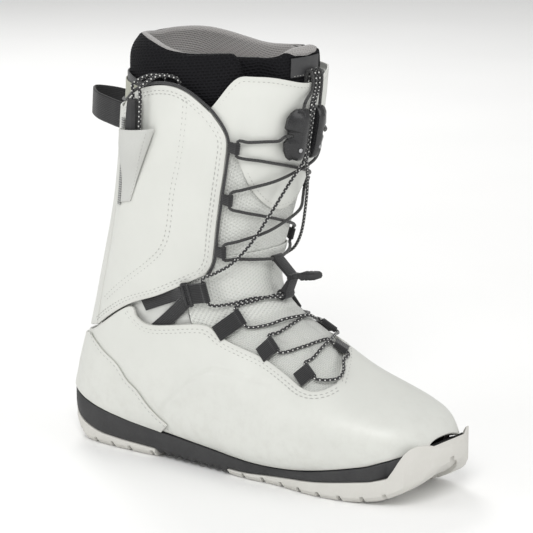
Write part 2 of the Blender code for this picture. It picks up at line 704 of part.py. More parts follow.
def tongue_grid(k0, k1, rows, v0, v1, cols, bend=None):
    """Grid over the tongue; bend turns shares down it into k."""
    k = np.linspace(k0, k1, rows)[:, None] * np.ones((1, cols))
    v = np.linspace(0, 1, cols)[None, :] * np.ones((rows, 1))
    lo_v = v0(k) if callable(v0) else v0
    hi_v = v1(k) if callable(v1) else v1
    v = lo_v + (hi_v - lo_v) * v
    if bend:
        k = bend(k, v)
    return np.stack([k, v], -1)


def tongue_top(v):
    """k of the tongue's top edge: rounded upper corners, slightly lower in the middle."""
    d = np.abs(v - 0.5)
    return 0.60 + 0.75 * step01((d - 0.13) / 0.07)**1.4 + 0.18 * step01((0.11 - d) / 0.11)


def u_edge(v):
    """k of the U-shaped lower edge of the white tongue panel."""
    d = np.abs(v - 0.5)
    return 3.36 - 1.40 * np.clip(d / 0.141, 0, 1)**2.2


base = tongue_grid(0.0, 1.0, 9, 0.303, 0.697, 17,
                   lambda t, v: tongue_top(v) + 0.10 + (4.35 - tongue_top(v) - 0.10) * t)
panel("tongue_base", base, lambda k, v: tongue_off(k, v) - 1.75, 1.0, MESHGREY)
white = tongue_grid(0.0, 1.0, 8, 0.303, 0.697, 17, lambda t,
                    v: tongue_top(v) + (u_edge(v) - tongue_top(v)) * t)
panel("tongue_panel", white, tongue_off, 1.1, WHITE)

flex = tongue_grid(4.42, 7.35, 8, 0.318, 0.682, 13)
panel("tongue_flex", flex, tongue_off, MESH_FABRIC, MESHGREY)
lower = tongue_grid(7.42, 12.75, 11, lambda k: 0.322 + 0.035 * step01((k - 11.2) / 1.5),
                    lambda k: 0.672 - 0.10 * step01((k - 8.5) / 4.0), 13)
panel("tongue_lower", lower, lambda k, v: tongue_off(k, v) - 0.15, MESH_FABRIC, MESHGREY)

# ---- ankle gussets -----------------------------------------------------------------------------
gusset = coons(smooth([(6.35, 0.200), (6.85, 0.27), (7.25, 0.3145)], 8),
               smooth([(5.05, 0.215), (4.75, 0.27), (4.45, 0.3145)], 8),
               smooth([(6.35, 0.200), (5.6, 0.195), (5.05, 0.215)], 6),
               smooth([(7.25, 0.3145), (5.8, 0.3145), (4.45, 0.3145)], 6))
panel("gusset_lateral", gusset, -5.2, 1.2, MESHGREY)
panel("gusset_medial", medial(gusset), -5.2, 1.2, MESHGREY)

# ---- liner -------------------------------------------------------------------------------------
RIM_V = [0, 0.08, 0.16, 0.25, 0.33, 0.385]
RIM_K = [0.14, 0.09, 0.15, 0.31, 0.23, 0.16]


def liner_off(k, v):
    """Distance of the liner inside the last, more at the ankle and the shaft."""
    shaft = step01((4.0 - k) / 1.2)
    ankle = step01((8.0 - k) / 1.5)
    return -5.6 - 1.8 * ankle - 1.1 * shaft + 0 * v


vs = np.linspace(-0.382, 0.382, 25)
rim = np.interp(np.abs(vs), RIM_V, RIM_K) + np.where(vs < 0, 0.10, 0) * step01(np.abs(vs) / 0.2)
ks = np.concatenate([np.linspace(0, 0.24, 4), np.linspace(0.40, 1, 5)])
collar = np.stack([np.stack([rim + (4.2 - rim) * t, vs], -1) for t in ks], 0)


def collar_off(k, v):
    """The liner cuff, its top rolled inwards."""
    d = np.minimum(v % 1, 1 - v % 1)
    r = np.interp(d, RIM_V, RIM_K)
    roll = np.clip((k - r) / 0.16, 0, 1)
    near_front = step01((d - 0.29) / 0.06)
    return liner_off(k, v) - 4.2 * (1 - np.sqrt(1 - (1 - roll)**2)) * (1 - near_front)


panel("liner_cuff", collar, collar_off, LINER_WALL, BLACKMESH)
n_v = 22
ring_vs = np.arange(n_v) / n_v


def ring_grid(ks_):
    """Rings of points round the last at the given k."""
    return np.stack([np.stack([np.full(n_v, kk), ring_vs], -1) for kk in ks_], 0)


def on_floor(pts, k, v):
    """The liner's sole lies flat on the lasting board."""
    pts = pts.copy()
    base = floor_z(pts[..., 1]) + 3.1
    rise = pts[..., 2] - base
    pts[..., 2] = base + np.where(rise < 7, np.maximum(0, (rise - 3.5) * 2), rise)
    return pts


panel("liner_ankle", ring_grid(np.linspace(4.27, 6.5, 6)), liner_off, LINER_WALL - 1, BLACKMESH, wrap=True)
panel("liner_foot", ring_grid([6.57, 7.1, 7.7, 8.4, 9.2, 10, 11, 12, 13, 14, 14.8, 15.35]), liner_off,
      4.0, BLACKMESH, wrap=True, shape=on_floor, cap=True)


def front_off(k, v):
    """The liner tongue dives under the liner cuff at both sides."""
    d = np.abs(v - 0.5)
    dive = step01((d - 0.066) / 0.044)
    return -6.6 - 9.3 * dive


lt_v = np.linspace(0.362, 0.638, 13)
lt_rim = 0.08 + 0.22 * step01((np.abs(lt_v - 0.49) - 0.03) / 0.09)
lt = np.stack([np.stack([lt_rim + (4.15 - lt_rim) * t, lt_v], -1)
               for t in np.concatenate([np.linspace(0, 0.2, 4), np.linspace(0.40, 1, 4)])], 0)
panel("liner_tongue", lt, front_off, 5.5, BLACKMESH)
lab_v = np.linspace(0.455, 0.545, 6)
label = np.stack([np.stack([np.full(6, kk), lab_v], -1) for kk in np.linspace(0.66, 0.27, 4)], 0)
panel("liner_label", label, -5.4, 0.8, SOFTRUBBER)

# footbed inside the liner
bed = []
for f in spread(22, 276, 18):
    z = floor_z(f) + 3.1 + 4.9
    slim = 17 + 3.5 * step01((f - 215) / 30)
    l, m = half(f, -1, slim), half(f, 1, slim)
    if m - l < 8:
        c = (l + m) / 2
        l, m = c - 4, c + 4
    bed.append([(l, f, z), (m, f, z), (m, f, z + 3.5), (l, f, z + 3.5)])
loft("footbed", bed, FOAM)


def tube_path(parts, name, mat, step=LACE_STEP, diameter=LACE_D):
    """A cord through the parts of a path: a list is drawn as a smooth curve, a tuple as a straight run."""
    pts, straight = [], set()
    for part in parts:
        for q, p in enumerate(part):
            if pts and np.linalg.norm(np.asarray(p) - pts[-1]) < 0.9:
                continue
            pts.append(np.asarray(p, float))
            if isinstance(part, tuple) and q:
                straight.add(len(pts) - 2)
    pts = np.array(pts)
    out = [pts[0]]
    for i in range(len(pts) - 1):
        n = max(1, int(round(np.linalg.norm(pts[i + 1] - pts[i]) / step)))
        for q in range(1, n + 1):
            t = q / n
            if i in straight:
                if q == n:
                    out.append(pts[i + 1])
                continue
            out.append(hermite(pts, np.array([i + t]))[0])
    return tube(name, np.array(out), diameter, mat)


# ---- webbing loops that carry the laces --------------------------------------------------------
def unit(a):
    """The same direction, one long."""
    a = np.asarray(a, float)
    return a / np.linalg.norm(a)


def eyelet(name, root, tip, normal, width, mat, root_drop=1.2, ro=2.05, ri=1.38, plate=0.75,
           cutter=False):
    """Webbing folded round a lace: a flat tail at root and a round hole at tip. All points (x, f, z).
    Returns the object, the hole's centre and its axis."""
    root, tip, normal = np.asarray(root, float), np.asarray(tip, float), unit(normal)
    along = unit((tip - root) - normal * np.dot(tip - root, normal))
    axis = np.cross(along, normal)
    length = np.dot(tip - root, along)
    turn = np.radians(np.linspace(-146, 146, 11))
    out = [(np.cos(t) * ro, np.sin(t) * ro) for t in turn]
    out += [(-length, -root_drop + plate), (-length, -root_drop - plate)]
    hole_turn = np.concatenate([turn, np.radians([163, 197])])
    hole = [(np.cos(t) * ri, np.sin(t) * ri) for t in hole_turn]
    pts = []
    for w in (-0.5, 0.5):
        for ring_pts in (out, hole):
            pts += [tip + along * a + normal * b + axis * w * width for a, b in ring_pts]
    n = len(out)
    faces = []
    for i in range(n):
        j = (i + 1) % n
        faces += [(i, j, n + j, n + i), (2 * n + i, 3 * n + i, 3 * n + j, 2 * n + j),
                  (i, 2 * n + i, 2 * n + j, j), (n + i, n + j, 3 * n + j, 3 * n + i)]
    obj = add(name, world(np.array(pts)), faces, mat, cutter)
    fix_normals(obj)
    return obj, tip, axis, width


HOLES = {}


def shell_loop(name, root_kv, tip_kv, width, rise, root_rise):
    """A lace loop sewn to the boot at root_kv; HOLES keeps its hole, pointing up."""
    root, tip = skin(*root_kv, root_rise), skin(*tip_kv, rise)
    n = outward(*tip_kv)
    obj, c, axis, w = eyelet(name, root, tip, n, width, WEBBING,
                             root_drop=np.dot(tip - root, n))
    if axis[2] < 0:
        axis = -axis
    HOLES[name] = (c, axis, w)


def loop_pair(label, root_kv, tip_kv, width, rise, root_rise):
    """The same loop on the lateral and the medial side."""
    shell_loop(label + "_lateral", root_kv, tip_kv, width, rise, root_rise)
    m_root, m_tip = (root_kv[0], 1 - root_kv[1]), (tip_kv[0], 1 - tip_kv[1])
    shell_loop(label + "_medial", m_root, m_tip, width, rise, root_rise)


loop_pair("cuff_loop_1", (1.93, 0.3600), (1.95, 0.3665), 7.5, 2.3, 0.2)
loop_pair("cuff_loop_2", (2.98, 0.3690), (3.00, 0.3755), 7.5, 2.3, 0.2)
loop_pair("cuff_loop_3", (4.08, 0.3735), (4.10, 0.3800), 7.5, 2.3, 0.2)
shell_loop("vamp_loop_1_lateral", (7.52, 0.3570), (7.19, 0.3915), 11.5, 2.2, 0.3)
shell_loop("vamp_loop_2_lateral", (9.70, 0.3665), (9.61, 0.3915), 11.5, 2.2, 0.3)
shell_loop("vamp_loop_3_lateral", (11.36, 0.3745), (11.38, 0.3975), 11.0, 2.2, 0.3)
shell_loop("vamp_loop_1_medial", (7.50, 0.6210), (7.24, 0.5975), 11.5, 2.3, 0.5)
shell_loop("vamp_loop_2_medial", (9.55, 0.588), (9.85, 0.556), 11.5, 2.4, 0.7)
shell_loop("vamp_loop_3_medial", (10.95, 0.519), (11.12, 0.492), 10.0, 2.4, 0.9)

# ---- ankle straps and ladder buckles -----------------------------------------------------------
for name, mirror in (("lateral", False), ("medial", True)):
    def at(k, v, off, mirror=mirror):
        """skin() on this side."""
        return skin(k, 1 - v if mirror else v, off)

    def nrm(k, v, mirror=mirror):
        """outward() on this side."""
        return outward(k, 1 - v if mirror else v)

    run = smooth([(5.60, 0.262, -3.9), (5.55, 0.280, -4.0), (5.47, 0.300, -2.2), (5.40, 0.315, 0.9)], 8,
                 even=False)
    c = np.array([at(*q) for q in run])
    n = np.array([nrm(q[0], q[1]) for q in run])
    ribbon("ankle_strap_upper_" + name, c, np.cross(np.gradient(c, axis=0), n), 8.5, WEB, WEBBING)
    run = smooth([(6.56, 0.262, -3.9), (6.38, 0.278, -3.5), (6.04, 0.300, -1.5), (5.78, 0.316, 0.9)], 8,
                 even=False)
    c = np.array([at(*q) for q in run])
    n = np.array([nrm(q[0], q[1]) for q in run])
    ribbon("ankle_strap_lower_" + name, c, np.cross(np.gradient(c, axis=0), n), 8.5, WEB, WEBBING)
    root, tip, n = at(5.44, 0.3205, 1.6), at(5.46, 0.3535, 2.3), nrm(5.45, 0.343)
    obj, c, axis, w = eyelet("ladder_buckle_" + name, root, tip, n, 14.0, PLASTIC,
                             root_drop=np.dot(tip - root, n),
                             ro=2.3, ri=1.4, plate=1.3)
    HOLES["buckle_" + name] = (c, axis if axis[2] > 0 else -axis, w)

# ---- front pull tab: two folded loops on the centre line joined to a rubber grip ---------------
J = np.array([0.0, 184.5, 136.0])
up_c, low_c = np.array([0.0, 171.2, 147.3]), np.array([0.0, 178.6, 123.0])
tab_up, *_ = eyelet("front_tab_webbing", J, up_c, (0, math.sin(0.7), math.cos(0.7)), 10, WEBBING,
                    root_drop=0, plate=0.8)
tab_low, *_ = eyelet("tab_low_cut", J, low_c, (0, math.cos(0.5), -math.sin(0.5)), 10, WEBBING,
                     root_drop=0,
                     ro=3.9, ri=2.85, plate=0.8, cutter=True)
joint_block = cutter_box("tab_joint_cut", J + np.array([0, 0.6, 0]), (10, 3.6, 3.2))
cut(tab_up, tab_low, "UNION")
cut(tab_up, joint_block, "UNION")
grip_dir = unit((0, 1, 0.16))
grip_up = np.array([0, -grip_dir[2], grip_dir[1]])
g0 = J + grip_dir * 3.2
sec = []
for a, w, h in [(0, 4.0, 1.6), (2, 4.2, 1.7), (5.0, 4.2, 1.7), (6.2, 5.2, 2.7), (8.0, 5.2, 2.7),
                (8.4, 4.9, 2.3), (9.2, 4.9, 2.3),
                (9.6, 5.2, 2.7), (11.4, 5.2, 2.7), (11.8, 4.9, 2.3), (12.6, 4.9, 2.3), (13.0, 5.2, 2.7),
                (17.5, 5.0, 2.5),
                (19.0, 4.2, 1.9)]:
    c = g0 + grip_dir * a
    ring = []
    for cx, cz in ((-1, -0.5), (-0.72, -1), (0.72, -1), (1, -0.5), (1, 0.5), (0.72, 1), (-0.72, 1),
                   (-1, 0.5)):
        ring.append(c + np.array([1, 0, 0]) * cx * w + grip_up * cz * h)
    sec.append(ring)
loft("front_tab_grip", sec, SOFTRUBBER)

# ---- rear pull loop ----------------------------------------------------------------------------
a0 = skin(1.80, 0.048, 1.2)
loop_pts = np.array([skin(1.84, 0.066, 1.35), skin(1.82, 0.056, 1.4), a0 + np.array([1.5, -3.5, 0.5]),
                     a0 + np.array([3.0, -14, 2.0]),
                     a0 + np.array([6.5, -32, 5.0]), [0.0, a0[1] - 43.5, a0[2] + 7.0]])
mirrored = loop_pts[:-1][::-1] * np.array([-1, 1, 1])
loop_c = even(np.concatenate([loop_pts, mirrored]), 4.5)
ribbon("pull_loop", loop_c, np.tile([0, 0.07, 1.0], (len(loop_c), 1)), 19, 1.6, WEBBING)

# ---- lace handles in the side pockets ----------------------------------------------------------
for name, m in (("lateral", 1), ("medial", -1)):
    def place(k, v, off, m=m):
        """skin() on this side."""
        return skin(k, v if m > 0 else 1 - v, off)

    lo_p, hi_p = place(2.04, 0.1870, 4.5), place(1.17, 0.1835, 4.5)
    d = unit(hi_p - lo_p)
    n = outward(1.6, 0.185 if m > 0 else 0.815)
    n = unit(n - d * np.dot(n, d))
    w = np.cross(n, d)
    length = np.linalg.norm(hi_p - lo_p)
    sec = []
    for t, hw, hh in [(0, 3.6, 2.3), (0.05, 5.2, 3.1), (0.30, 5.6, 3.2), (0.62, 5.2, 3.2),
                      (0.86, 4.4, 3.1), (0.96, 3.8, 2.9),
                      (1.0, 3.0, 2.4)]:
        c = lo_p + d * length * t
        sec.append([c + w * hw * a + n * hh * b for a, b in
                    ((-1, -0.45), (-0.62, -1), (0.62, -1), (1, -0.45), (1, 0.45), (0.62, 1), (-0.62, 1),
                     (-1, 0.45))])
    grip = loft("lace_handle_" + name, sec, SOFTRUBBER)
    mid = (lo_p + hi_p) / 2
    reach = d * (length / 2 + 6)
    cut(grip, rod("handle_bore_" + name, mid - reach, mid + reach, 1.55))
    # the cord: up through the handle, over the rim of the cuff, and back down beside it
    fwd = w if w[1] > 0 else -w
    leg = [place(k, 0.226, -6.8) for k in (2.1, 1.73, 1.36, 0.98)]
    leg2 = [place(k, 0.252, -6.8) for k in (0.98, 1.36, 1.73, 2.1)]
    top1 = [leg[-1] + d * 8.5 + n * 0.8, (leg[-1] + hi_p) / 2 + d * 13, hi_p + d * 10.0]
    bore_run = (hi_p + d * 2.5, lo_p - d * 2.0)
    turn = [lo_p - d * 4.2 + fwd * 4.2]
    beside = (lo_p + d * 1.0 + fwd * 8.4, hi_p + d * 2.0 + fwd * 8.4)
    top2 = [hi_p + d * 9.5 + fwd * 8.6, (leg2[0] + hi_p + fwd * 8) / 2 + d * 14,
            leg2[0] + d * 8.5 + n * 0.8]
    tube_path([leg, top1, bore_run, turn, beside, top2, leg2], "handle_cord_" + name,
              SPECKLED if m == 1 else DARKLACE, 7.0, CORD_D)

# ---- lace lock on the tongue -------------------------------------------------------------------
LOCK_X, LOCK_F, LOCK_Z = -4.0, 196.6, 237.0
up = unit((0, 6.0, 36.0))
fwd = np.array([0, up[2], -up[1]])
lock_c = np.array([LOCK_X, LOCK_F, LOCK_Z])
X = np.array([1.0, 0, 0])


def lock_pt(x, n, z, lean=0.0):
    """x across, n out of the tongue, z along it; lean turns a lobe back round the shin."""
    c, s = math.cos(lean), math.sin(lean)
    return lock_c + X * (x * c + n * s) + fwd * (n * c - x * s) + up * z


LEAN, LEAN_MEDIAL = 0.20, 0.13
loft("lock_base", [[lock_pt(-x, 0, z, -LEAN), lock_pt(-2.4, 0, z), lock_pt(2.4, 0, z),
                    lock_pt(x, 0, z, LEAN_MEDIAL), lock_pt(x, 1.6, z, LEAN_MEDIAL), lock_pt(2.4, 1.4, z), lock_pt(-2.4, 1.4, z),
                    lock_pt(-x, 1.6, z, -LEAN)]
                   for z, x in ((-14, 11), (-11, 14), (0, 15), (11, 14), (14, 11))], PLASTIC)


NOTCH = {}
for name, m in (("left", -1), ("right", 1)):
    lean = LEAN_MEDIAL if m > 0 else -LEAN
    sec = []
    for z, xo, depth in [(-17.5, 13.5, 6.0), (-15.5, 16.0, 7.8), (-11, 19.0, 8.6), (-5, 20.0, 9.0),
                         (-2.6, 17.4, 9.0), (2.6, 17.4, 9.0),
                         (5, 20.5, 9.2), (12, 19.5, 8.8), (15.5, 16.5, 7.6), (17.5, 13.0, 6.0)]:
        prof = [(3.6, 2.1), (3.6, depth - 0.8), (4.8, depth), (9.0, depth + 0.5),
                (xo - 3.2, depth - 2.6), (xo, 4.4), (xo, 2.6),
                (xo - 1.5, 2.1)]
        sec.append([lock_pt(m * x, n, z, lean) for x, n in prof])
    cover = loft("lock_cover_" + name, sec, PLASTIC)
    a = lock_pt(m * 9.9, 4.8, 0, lean)
    side = rod("notch_bore_" + name, lock_pt(m * 26, 4.8, 0, lean), lock_pt(m * 8.4, 4.8, 0, lean), 1.6)
    top = rod("top_bore_" + name, lock_pt(m * 10.08, 4.8, -1.4, lean), lock_pt(m * 7.0, 4.8, 24, lean),
              1.6)
    screw_at = lock_pt(m * 9.0, 0, -9.5, lean)
    out_n = lock_pt(m * 9.0, 1, -9.5, lean) - screw_at
    sink = rod("screw_seat_" + name, screw_at + out_n * 8.0, screw_at + out_n * 12, 1.9)
    cut(cover, side)
    cut(cover, top)
    cut(cover, sink)
    NOTCH[name] = (a, lock_pt(m * 20.5, 4.8, 0, lean), lock_pt(m * 7.36, 4.8, 21, lean))
    bpy.ops.mesh.primitive_cylinder_add(vertices=12, radius=1.55 * MM, depth=0.9 * MM)
    screw = bpy.context.object
    screw.name = "lock_screw_" + name
    screw.data.name = screw.name
    for c in list(screw.users_collection):
        c.objects.unlink(screw)
    boot.objects.link(screw)
    screw.data.materials.append(STEEL)
    w_at = Vector(world(screw_at + out_n * 8.85))
    direction = Vector(world(screw_at + out_n) - world(screw_at))
    screw.matrix_world = Matrix.Translation(w_at) @ direction.to_track_quat("Z",
        "Y").to_matrix().to_4x4()

# ---- laces -------------------------------------------------------------------------------------


def through(hole, downward=True):
    """Points that carry a lace straight through a loop and a little past its ends."""
    c, axis, w = HOLES[hole]
    gap = 1.4
    a, b = c + axis * (w / 2 + gap), c - axis * (w / 2 + gap)
    return (a, b) if downward else (b, a)


def bridge(a_kv, b_kv, offs, ends=(0.14, 0.86)):
    """A run across the tongue between two loops, with its height above the last at even steps."""
    a, b = np.array(a_kv, float), np.array(b_kv, float)
    ts = np.linspace(ends[0], ends[1], len(offs))
    return [skin(*(a + (b - a) * t), o) for t, o in zip(ts, offs)]


CROSSING = 3.55          # height of a lace where it crosses over another
a_l, out_l, top_lp = NOTCH["left"]
a_r, out_r, top_rp = NOTCH["right"]


def hidden(x):
    """Over the top edge of the tongue and down behind it."""
    v = 0.5 + x * 0.00215
    return [skin(2.0, v, -4.85), skin(1.35, v, -4.85), skin(0.98, v, -4.9), skin(0.66, v, -4.2),
            skin(0.56, v, -1.6), skin(0.66, v, 0.9),
            skin(0.90, v, 1.25)]


upper_parts = [hidden(-0.6), (top_lp, a_l, out_l),
               bridge((1.82, 0.455), (1.83, 0.376), [2.6, 1.9, 1.6], (0.3, 0.92)),
               through("cuff_loop_1_lateral"),
               bridge((2.15, 0.385), (2.85, 0.625), [1.3, 1.05, 1.05, 1.05, 1.3], (0.10, 0.92)),
               through("cuff_loop_2_medial"),
               bridge((3.20, 0.620), (3.92, 0.385), [1.5, CROSSING, CROSSING, CROSSING, 1.5],
                      (0.08, 0.92)),
               through("cuff_loop_3_lateral"),
               [skin(4.36, 0.405, 1.6), skin(4.45, 0.44, 2.2), up_c - X * 6.5, up_c - X * 2,
                up_c + X * 2, up_c + X * 6.5,
                skin(4.45, 0.56, 2.2), skin(4.36, 0.595, 1.6)],
               through("cuff_loop_3_medial", False),
               bridge((3.92, 0.615), (3.20, 0.380), [1.2, 1.05, 1.05, 1.05, 1.2], (0.08, 0.92)),
               through("cuff_loop_2_lateral", False),
               bridge((2.85, 0.375), (2.15, 0.615), [1.5, CROSSING, CROSSING, CROSSING, 1.5],
                      (0.08, 0.90)),
               through("cuff_loop_1_medial", False),
               bridge((1.83, 0.624), (1.82, 0.545), [1.6, 1.9, 2.6], (0.08, 0.70)),
               (out_r, a_r, top_rp), hidden(13.4)[::-1]]
tube_path(upper_parts, "upper_lace", DARKLACE)

c_l = [lock_pt(-1.65, 4.2, z) for z in (22, 10, 0, -10, -19)]
c_r = [lock_pt(1.65, 4.2, z) for z in (22, 10, 0, -10, -19)]


def shin(side):
    """From the lock down over the shin to the ankle buckle."""
    s = [((2.75, 0.470), 6.4), ((3.35, 0.445), 6.6), ((3.9, 0.420), 6.6), ((4.4, 0.395), 6.0),
         ((4.72, 0.372), 4.2)]
    return [skin(k, v if side < 0 else 1 - v, o) for (k, v), o in s]


def tab_pass(s):
    """Through the lower loop of the front tab; the two runs cross one before the other."""
    n = np.array([0, math.cos(0.5), -math.sin(0.5)])
    return [low_c - X * 7 + n * 1.35 * s, low_c - X * 2 + n * 1.35 * s, low_c + X * 2 + n * 1.35 * s,
            low_c + X * 7 + n * 1.35 * s]


lower_parts = [hidden(3.9), c_l, shin(-1), through("buckle_lateral"),
               [skin(6.25, 0.385, 1.6), skin(6.30, 0.43, 2.0)], tab_pass(1), [skin(6.52, 0.560, 2.6)],
               through("vamp_loop_1_medial"),
               bridge((8.25, 0.585), (9.15, 0.405), [1.3, 1.05, 1.05, 1.05, 1.3], (0.05, 0.92)),
               through("vamp_loop_2_lateral"),
               bridge((10.35, 0.415), (10.55, 0.50), [1.3, 1.05, 1.2], (0.10, 0.85)),
               through("vamp_loop_3_medial"),
               [skin(11.55, 0.478, 1.45), skin(11.92, 0.455, 1.45), skin(12.06, 0.428, 1.5)],
               through("vamp_loop_3_lateral", False),
               bridge((11.05, 0.412), (10.35, 0.545), [1.4, CROSSING, CROSSING, 1.6], (0.06, 0.9)),
               through("vamp_loop_2_medial", False),
               bridge((9.2, 0.545), (8.2, 0.405), [1.5, CROSSING, CROSSING, CROSSING, 1.5],
                      (0.08, 0.92)),
               through("vamp_loop_1_lateral", False),
               [skin(6.50, 0.432, 2.6)], tab_pass(-1), [skin(6.30, 0.57, 2.0), skin(6.25, 0.615, 1.6)],
               through("buckle_medial", False), shin(1)[::-1], c_r[::-1], hidden(8.9)[::-1]]
tube_path(lower_parts, "lower_lace", SPECKLED)
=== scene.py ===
"""Snowboard boot: the looks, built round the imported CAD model.

The leather, mesh, padding and laces are lofted here on the same last as the CAD solids, finer and with rounded
edges, seams and stitches, and each stands for its CAD node. Small hard parts are the CAD solids with rounded edges.
Inside this script points are (x, f, z) in millimetres: f runs forward from the heel, and world() turns them into
the frame's metres.
"""
import json
import math

import bmesh
import bpy
import numpy as np
from mathutils import Matrix, Vector

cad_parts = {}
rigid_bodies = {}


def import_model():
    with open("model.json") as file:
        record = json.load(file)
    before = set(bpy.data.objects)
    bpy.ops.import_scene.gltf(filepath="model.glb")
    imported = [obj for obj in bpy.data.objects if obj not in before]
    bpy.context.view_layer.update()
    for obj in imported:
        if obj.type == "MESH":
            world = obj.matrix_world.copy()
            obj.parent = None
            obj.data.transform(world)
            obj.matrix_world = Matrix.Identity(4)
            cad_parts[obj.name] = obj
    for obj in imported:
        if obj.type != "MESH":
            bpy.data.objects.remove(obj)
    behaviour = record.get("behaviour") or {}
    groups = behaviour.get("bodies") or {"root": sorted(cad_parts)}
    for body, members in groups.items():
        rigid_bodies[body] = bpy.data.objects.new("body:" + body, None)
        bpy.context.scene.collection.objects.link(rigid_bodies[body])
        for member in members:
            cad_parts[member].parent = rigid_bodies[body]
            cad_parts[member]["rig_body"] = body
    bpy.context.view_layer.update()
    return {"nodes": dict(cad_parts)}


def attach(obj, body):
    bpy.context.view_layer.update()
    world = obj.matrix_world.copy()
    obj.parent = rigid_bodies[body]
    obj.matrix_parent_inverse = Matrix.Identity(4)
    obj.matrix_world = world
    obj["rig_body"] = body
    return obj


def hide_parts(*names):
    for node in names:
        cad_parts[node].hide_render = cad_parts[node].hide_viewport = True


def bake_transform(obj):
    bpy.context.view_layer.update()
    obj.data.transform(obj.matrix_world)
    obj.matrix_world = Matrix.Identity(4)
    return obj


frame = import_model()
NODES = frame["nodes"]
BODY = {n: o["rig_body"] for n, o in NODES.items()}

MM = 0.001
HEEL_Y = 156.0
LEATHER = 2.2
LACE_D = 2.2
CORD_D = 2.4

# The last, as in the CAD: (rear or sole f, z), (front or instep f, z), half widths, x shift, roundness
LAST = np.array([
    (53, 300, 201, 294, 57, 57, 0, 2.4, 2.3), (53, 262, 199, 262, 57, 57, 0, 2.4, 2.3),
    (51, 225, 193, 228, 57, 56, 0, 2.4, 2.3), (46, 185, 180, 194, 55, 54, 0, 2.4, 2.3),
    (36, 145, 171, 160, 52, 51, 0, 2.4, 2.2), (26, 112, 167, 140, 49, 48, 0, 2.4, 2.1),
    (16, 80, 170, 126, 45, 44, 0, 2.5, 2.1), (6, 48, 178, 118, 43, 42, 0, 2.7, 2.1),
    (6, 20, 188, 112, 42, 41, 0, 3.2, 2.1), (40, 12, 197, 107, 42, 40, 0, 4.0, 2.1),
    (90, 11, 208, 101, 43, 39, 1, 4.5, 2.1), (135, 11, 222, 92, 48, 42, 2, 4.5, 2.15),
    (180, 10, 238, 80, 54, 48, 3, 4.5, 2.25), (222, 12, 255, 70, 53, 51, 5, 4.5, 2.4),
    (260, 16, 273, 62, 45, 46, 7, 4.0, 2.6), (288, 22, 289, 56, 34, 35, 8, 3.2, 2.6),
    (306, 30, 303, 44, 19, 19, 9, 2.4, 2.4),
], float)


# ---- the last as a surface -------------------------------------------------------------------------------
def hermite(rows, t):
    rows = np.asarray(rows, float)
    n = len(rows)
    t = np.clip(np.asarray(t, float), 0, n - 1 - 1e-9)
    i = np.floor(t).astype(int)
    s = (t - i)[..., None]
    p0, p1 = rows[np.maximum(i - 1, 0)], rows[i]
    p2, p3 = rows[i + 1], rows[np.minimum(i + 2, n - 1)]
    m1, m2 = (p2 - p0) / 2, (p3 - p1) / 2
    return ((2 * s**3 - 3 * s**2 + 1) * p1 + (s**3 - 2 * s**2 + s) * m1
            + (-2 * s**3 + 3 * s**2) * p2 + (s**3 - s**2) * m2)


def last(k, v):
    q = hermite(LAST, k)
    turn = 2 * np.pi * np.asarray(v, float)
    fore, side = -np.cos(turn), np.sin(turn)
    n = np.where(fore < 0, q[..., 7], q[..., 8])
    r = (np.abs(fore)**n + np.abs(side)**n)**(-1 / n)
    half = np.where(side > 0, q[..., 4], q[..., 5])
    a = fore * r
    return np.stack([q[..., 6] - side * r * half, (q[..., 0] + q[..., 2]) / 2 + a * (q[..., 2] - q[..., 0]) / 2,
                     (q[..., 1] + q[..., 3]) / 2 + a * (q[..., 3] - q[..., 1]) / 2], -1)


def outward(k, v):
    k, v = np.broadcast_arrays(np.asarray(k, float), np.asarray(v, float))
    e = 0.02
    du = last(np.minimum(k + e, 16), v) - last(np.maximum(k - e, 0), v)
    dv = last(k, v + 0.004) - last(k, v - 0.004)
    n = np.cross(du, dv)
    n /= np.maximum(np.linalg.norm(n, axis=-1, keepdims=True), 1e-9)
    q = hermite(LAST, k)
    middle = np.stack([q[..., 6], (q[..., 0] + q[..., 2]) / 2, (q[..., 1] + q[..., 3]) / 2], -1)
    sign = np.sign(((last(k, v) - middle) * n).sum(-1, keepdims=True))
    return n * np.where(sign == 0, 1, sign)


def skin(k, v, off=0.0):
    """Points (x, f, z) at a distance off outside the last."""
    k, v = np.broadcast_arrays(np.asarray(k, float), np.asarray(v, float))
    return last(k, v) + outward(k, v) * np.asarray(off, float)[..., None]


def world(p):
    p = np.asarray(p, float)
    return np.stack([p[..., 0], HEEL_Y - p[..., 1], p[..., 2]], -1) * MM


def step01(x):
    x = np.clip(x, 0, 1)
    return x * x * (3 - 2 * x)


def smooth(points, n, even=True):
    points = np.asarray(points, float)
    t = np.linspace(0, len(points) - 1, 800)
    fine = hermite(points, t)
    if not even:
        return hermite(points, np.linspace(0, len(points) - 1, n + 1))
    p = last(fine[:, 0], fine[:, 1]) if points.shape[1] == 2 else fine[:, :3]
    s = np.concatenate([[0], np.cumsum(np.linalg.norm(np.diff(p, axis=0), axis=1))])
    return hermite(points, np.interp(np.linspace(0, s[-1], n + 1), s, t))


def coons(low, high, rear, front):
    a, b = len(rear), len(low)
    s = np.linspace(0, 1, b)[None, :, None]
    t = np.linspace(0, 1, a)[:, None, None]
    low, high, rear, front = (np.asarray(e, float) for e in (low, high, rear, front))
    return ((1 - t) * low[None] + t * high[None] + (1 - s) * rear[:, None] + s * front[:, None]
            - (1 - t) * (1 - s) * low[0] - (1 - t) * s * low[-1] - t * (1 - s) * high[0] - t * s * high[-1])


def medial(kv):
    kv = np.array(kv, float)
    kv[..., 1] = 1 - kv[..., 1]
    return kv


def unit(a):
    a = np.asarray(a, float)
    return a / np.linalg.norm(a)


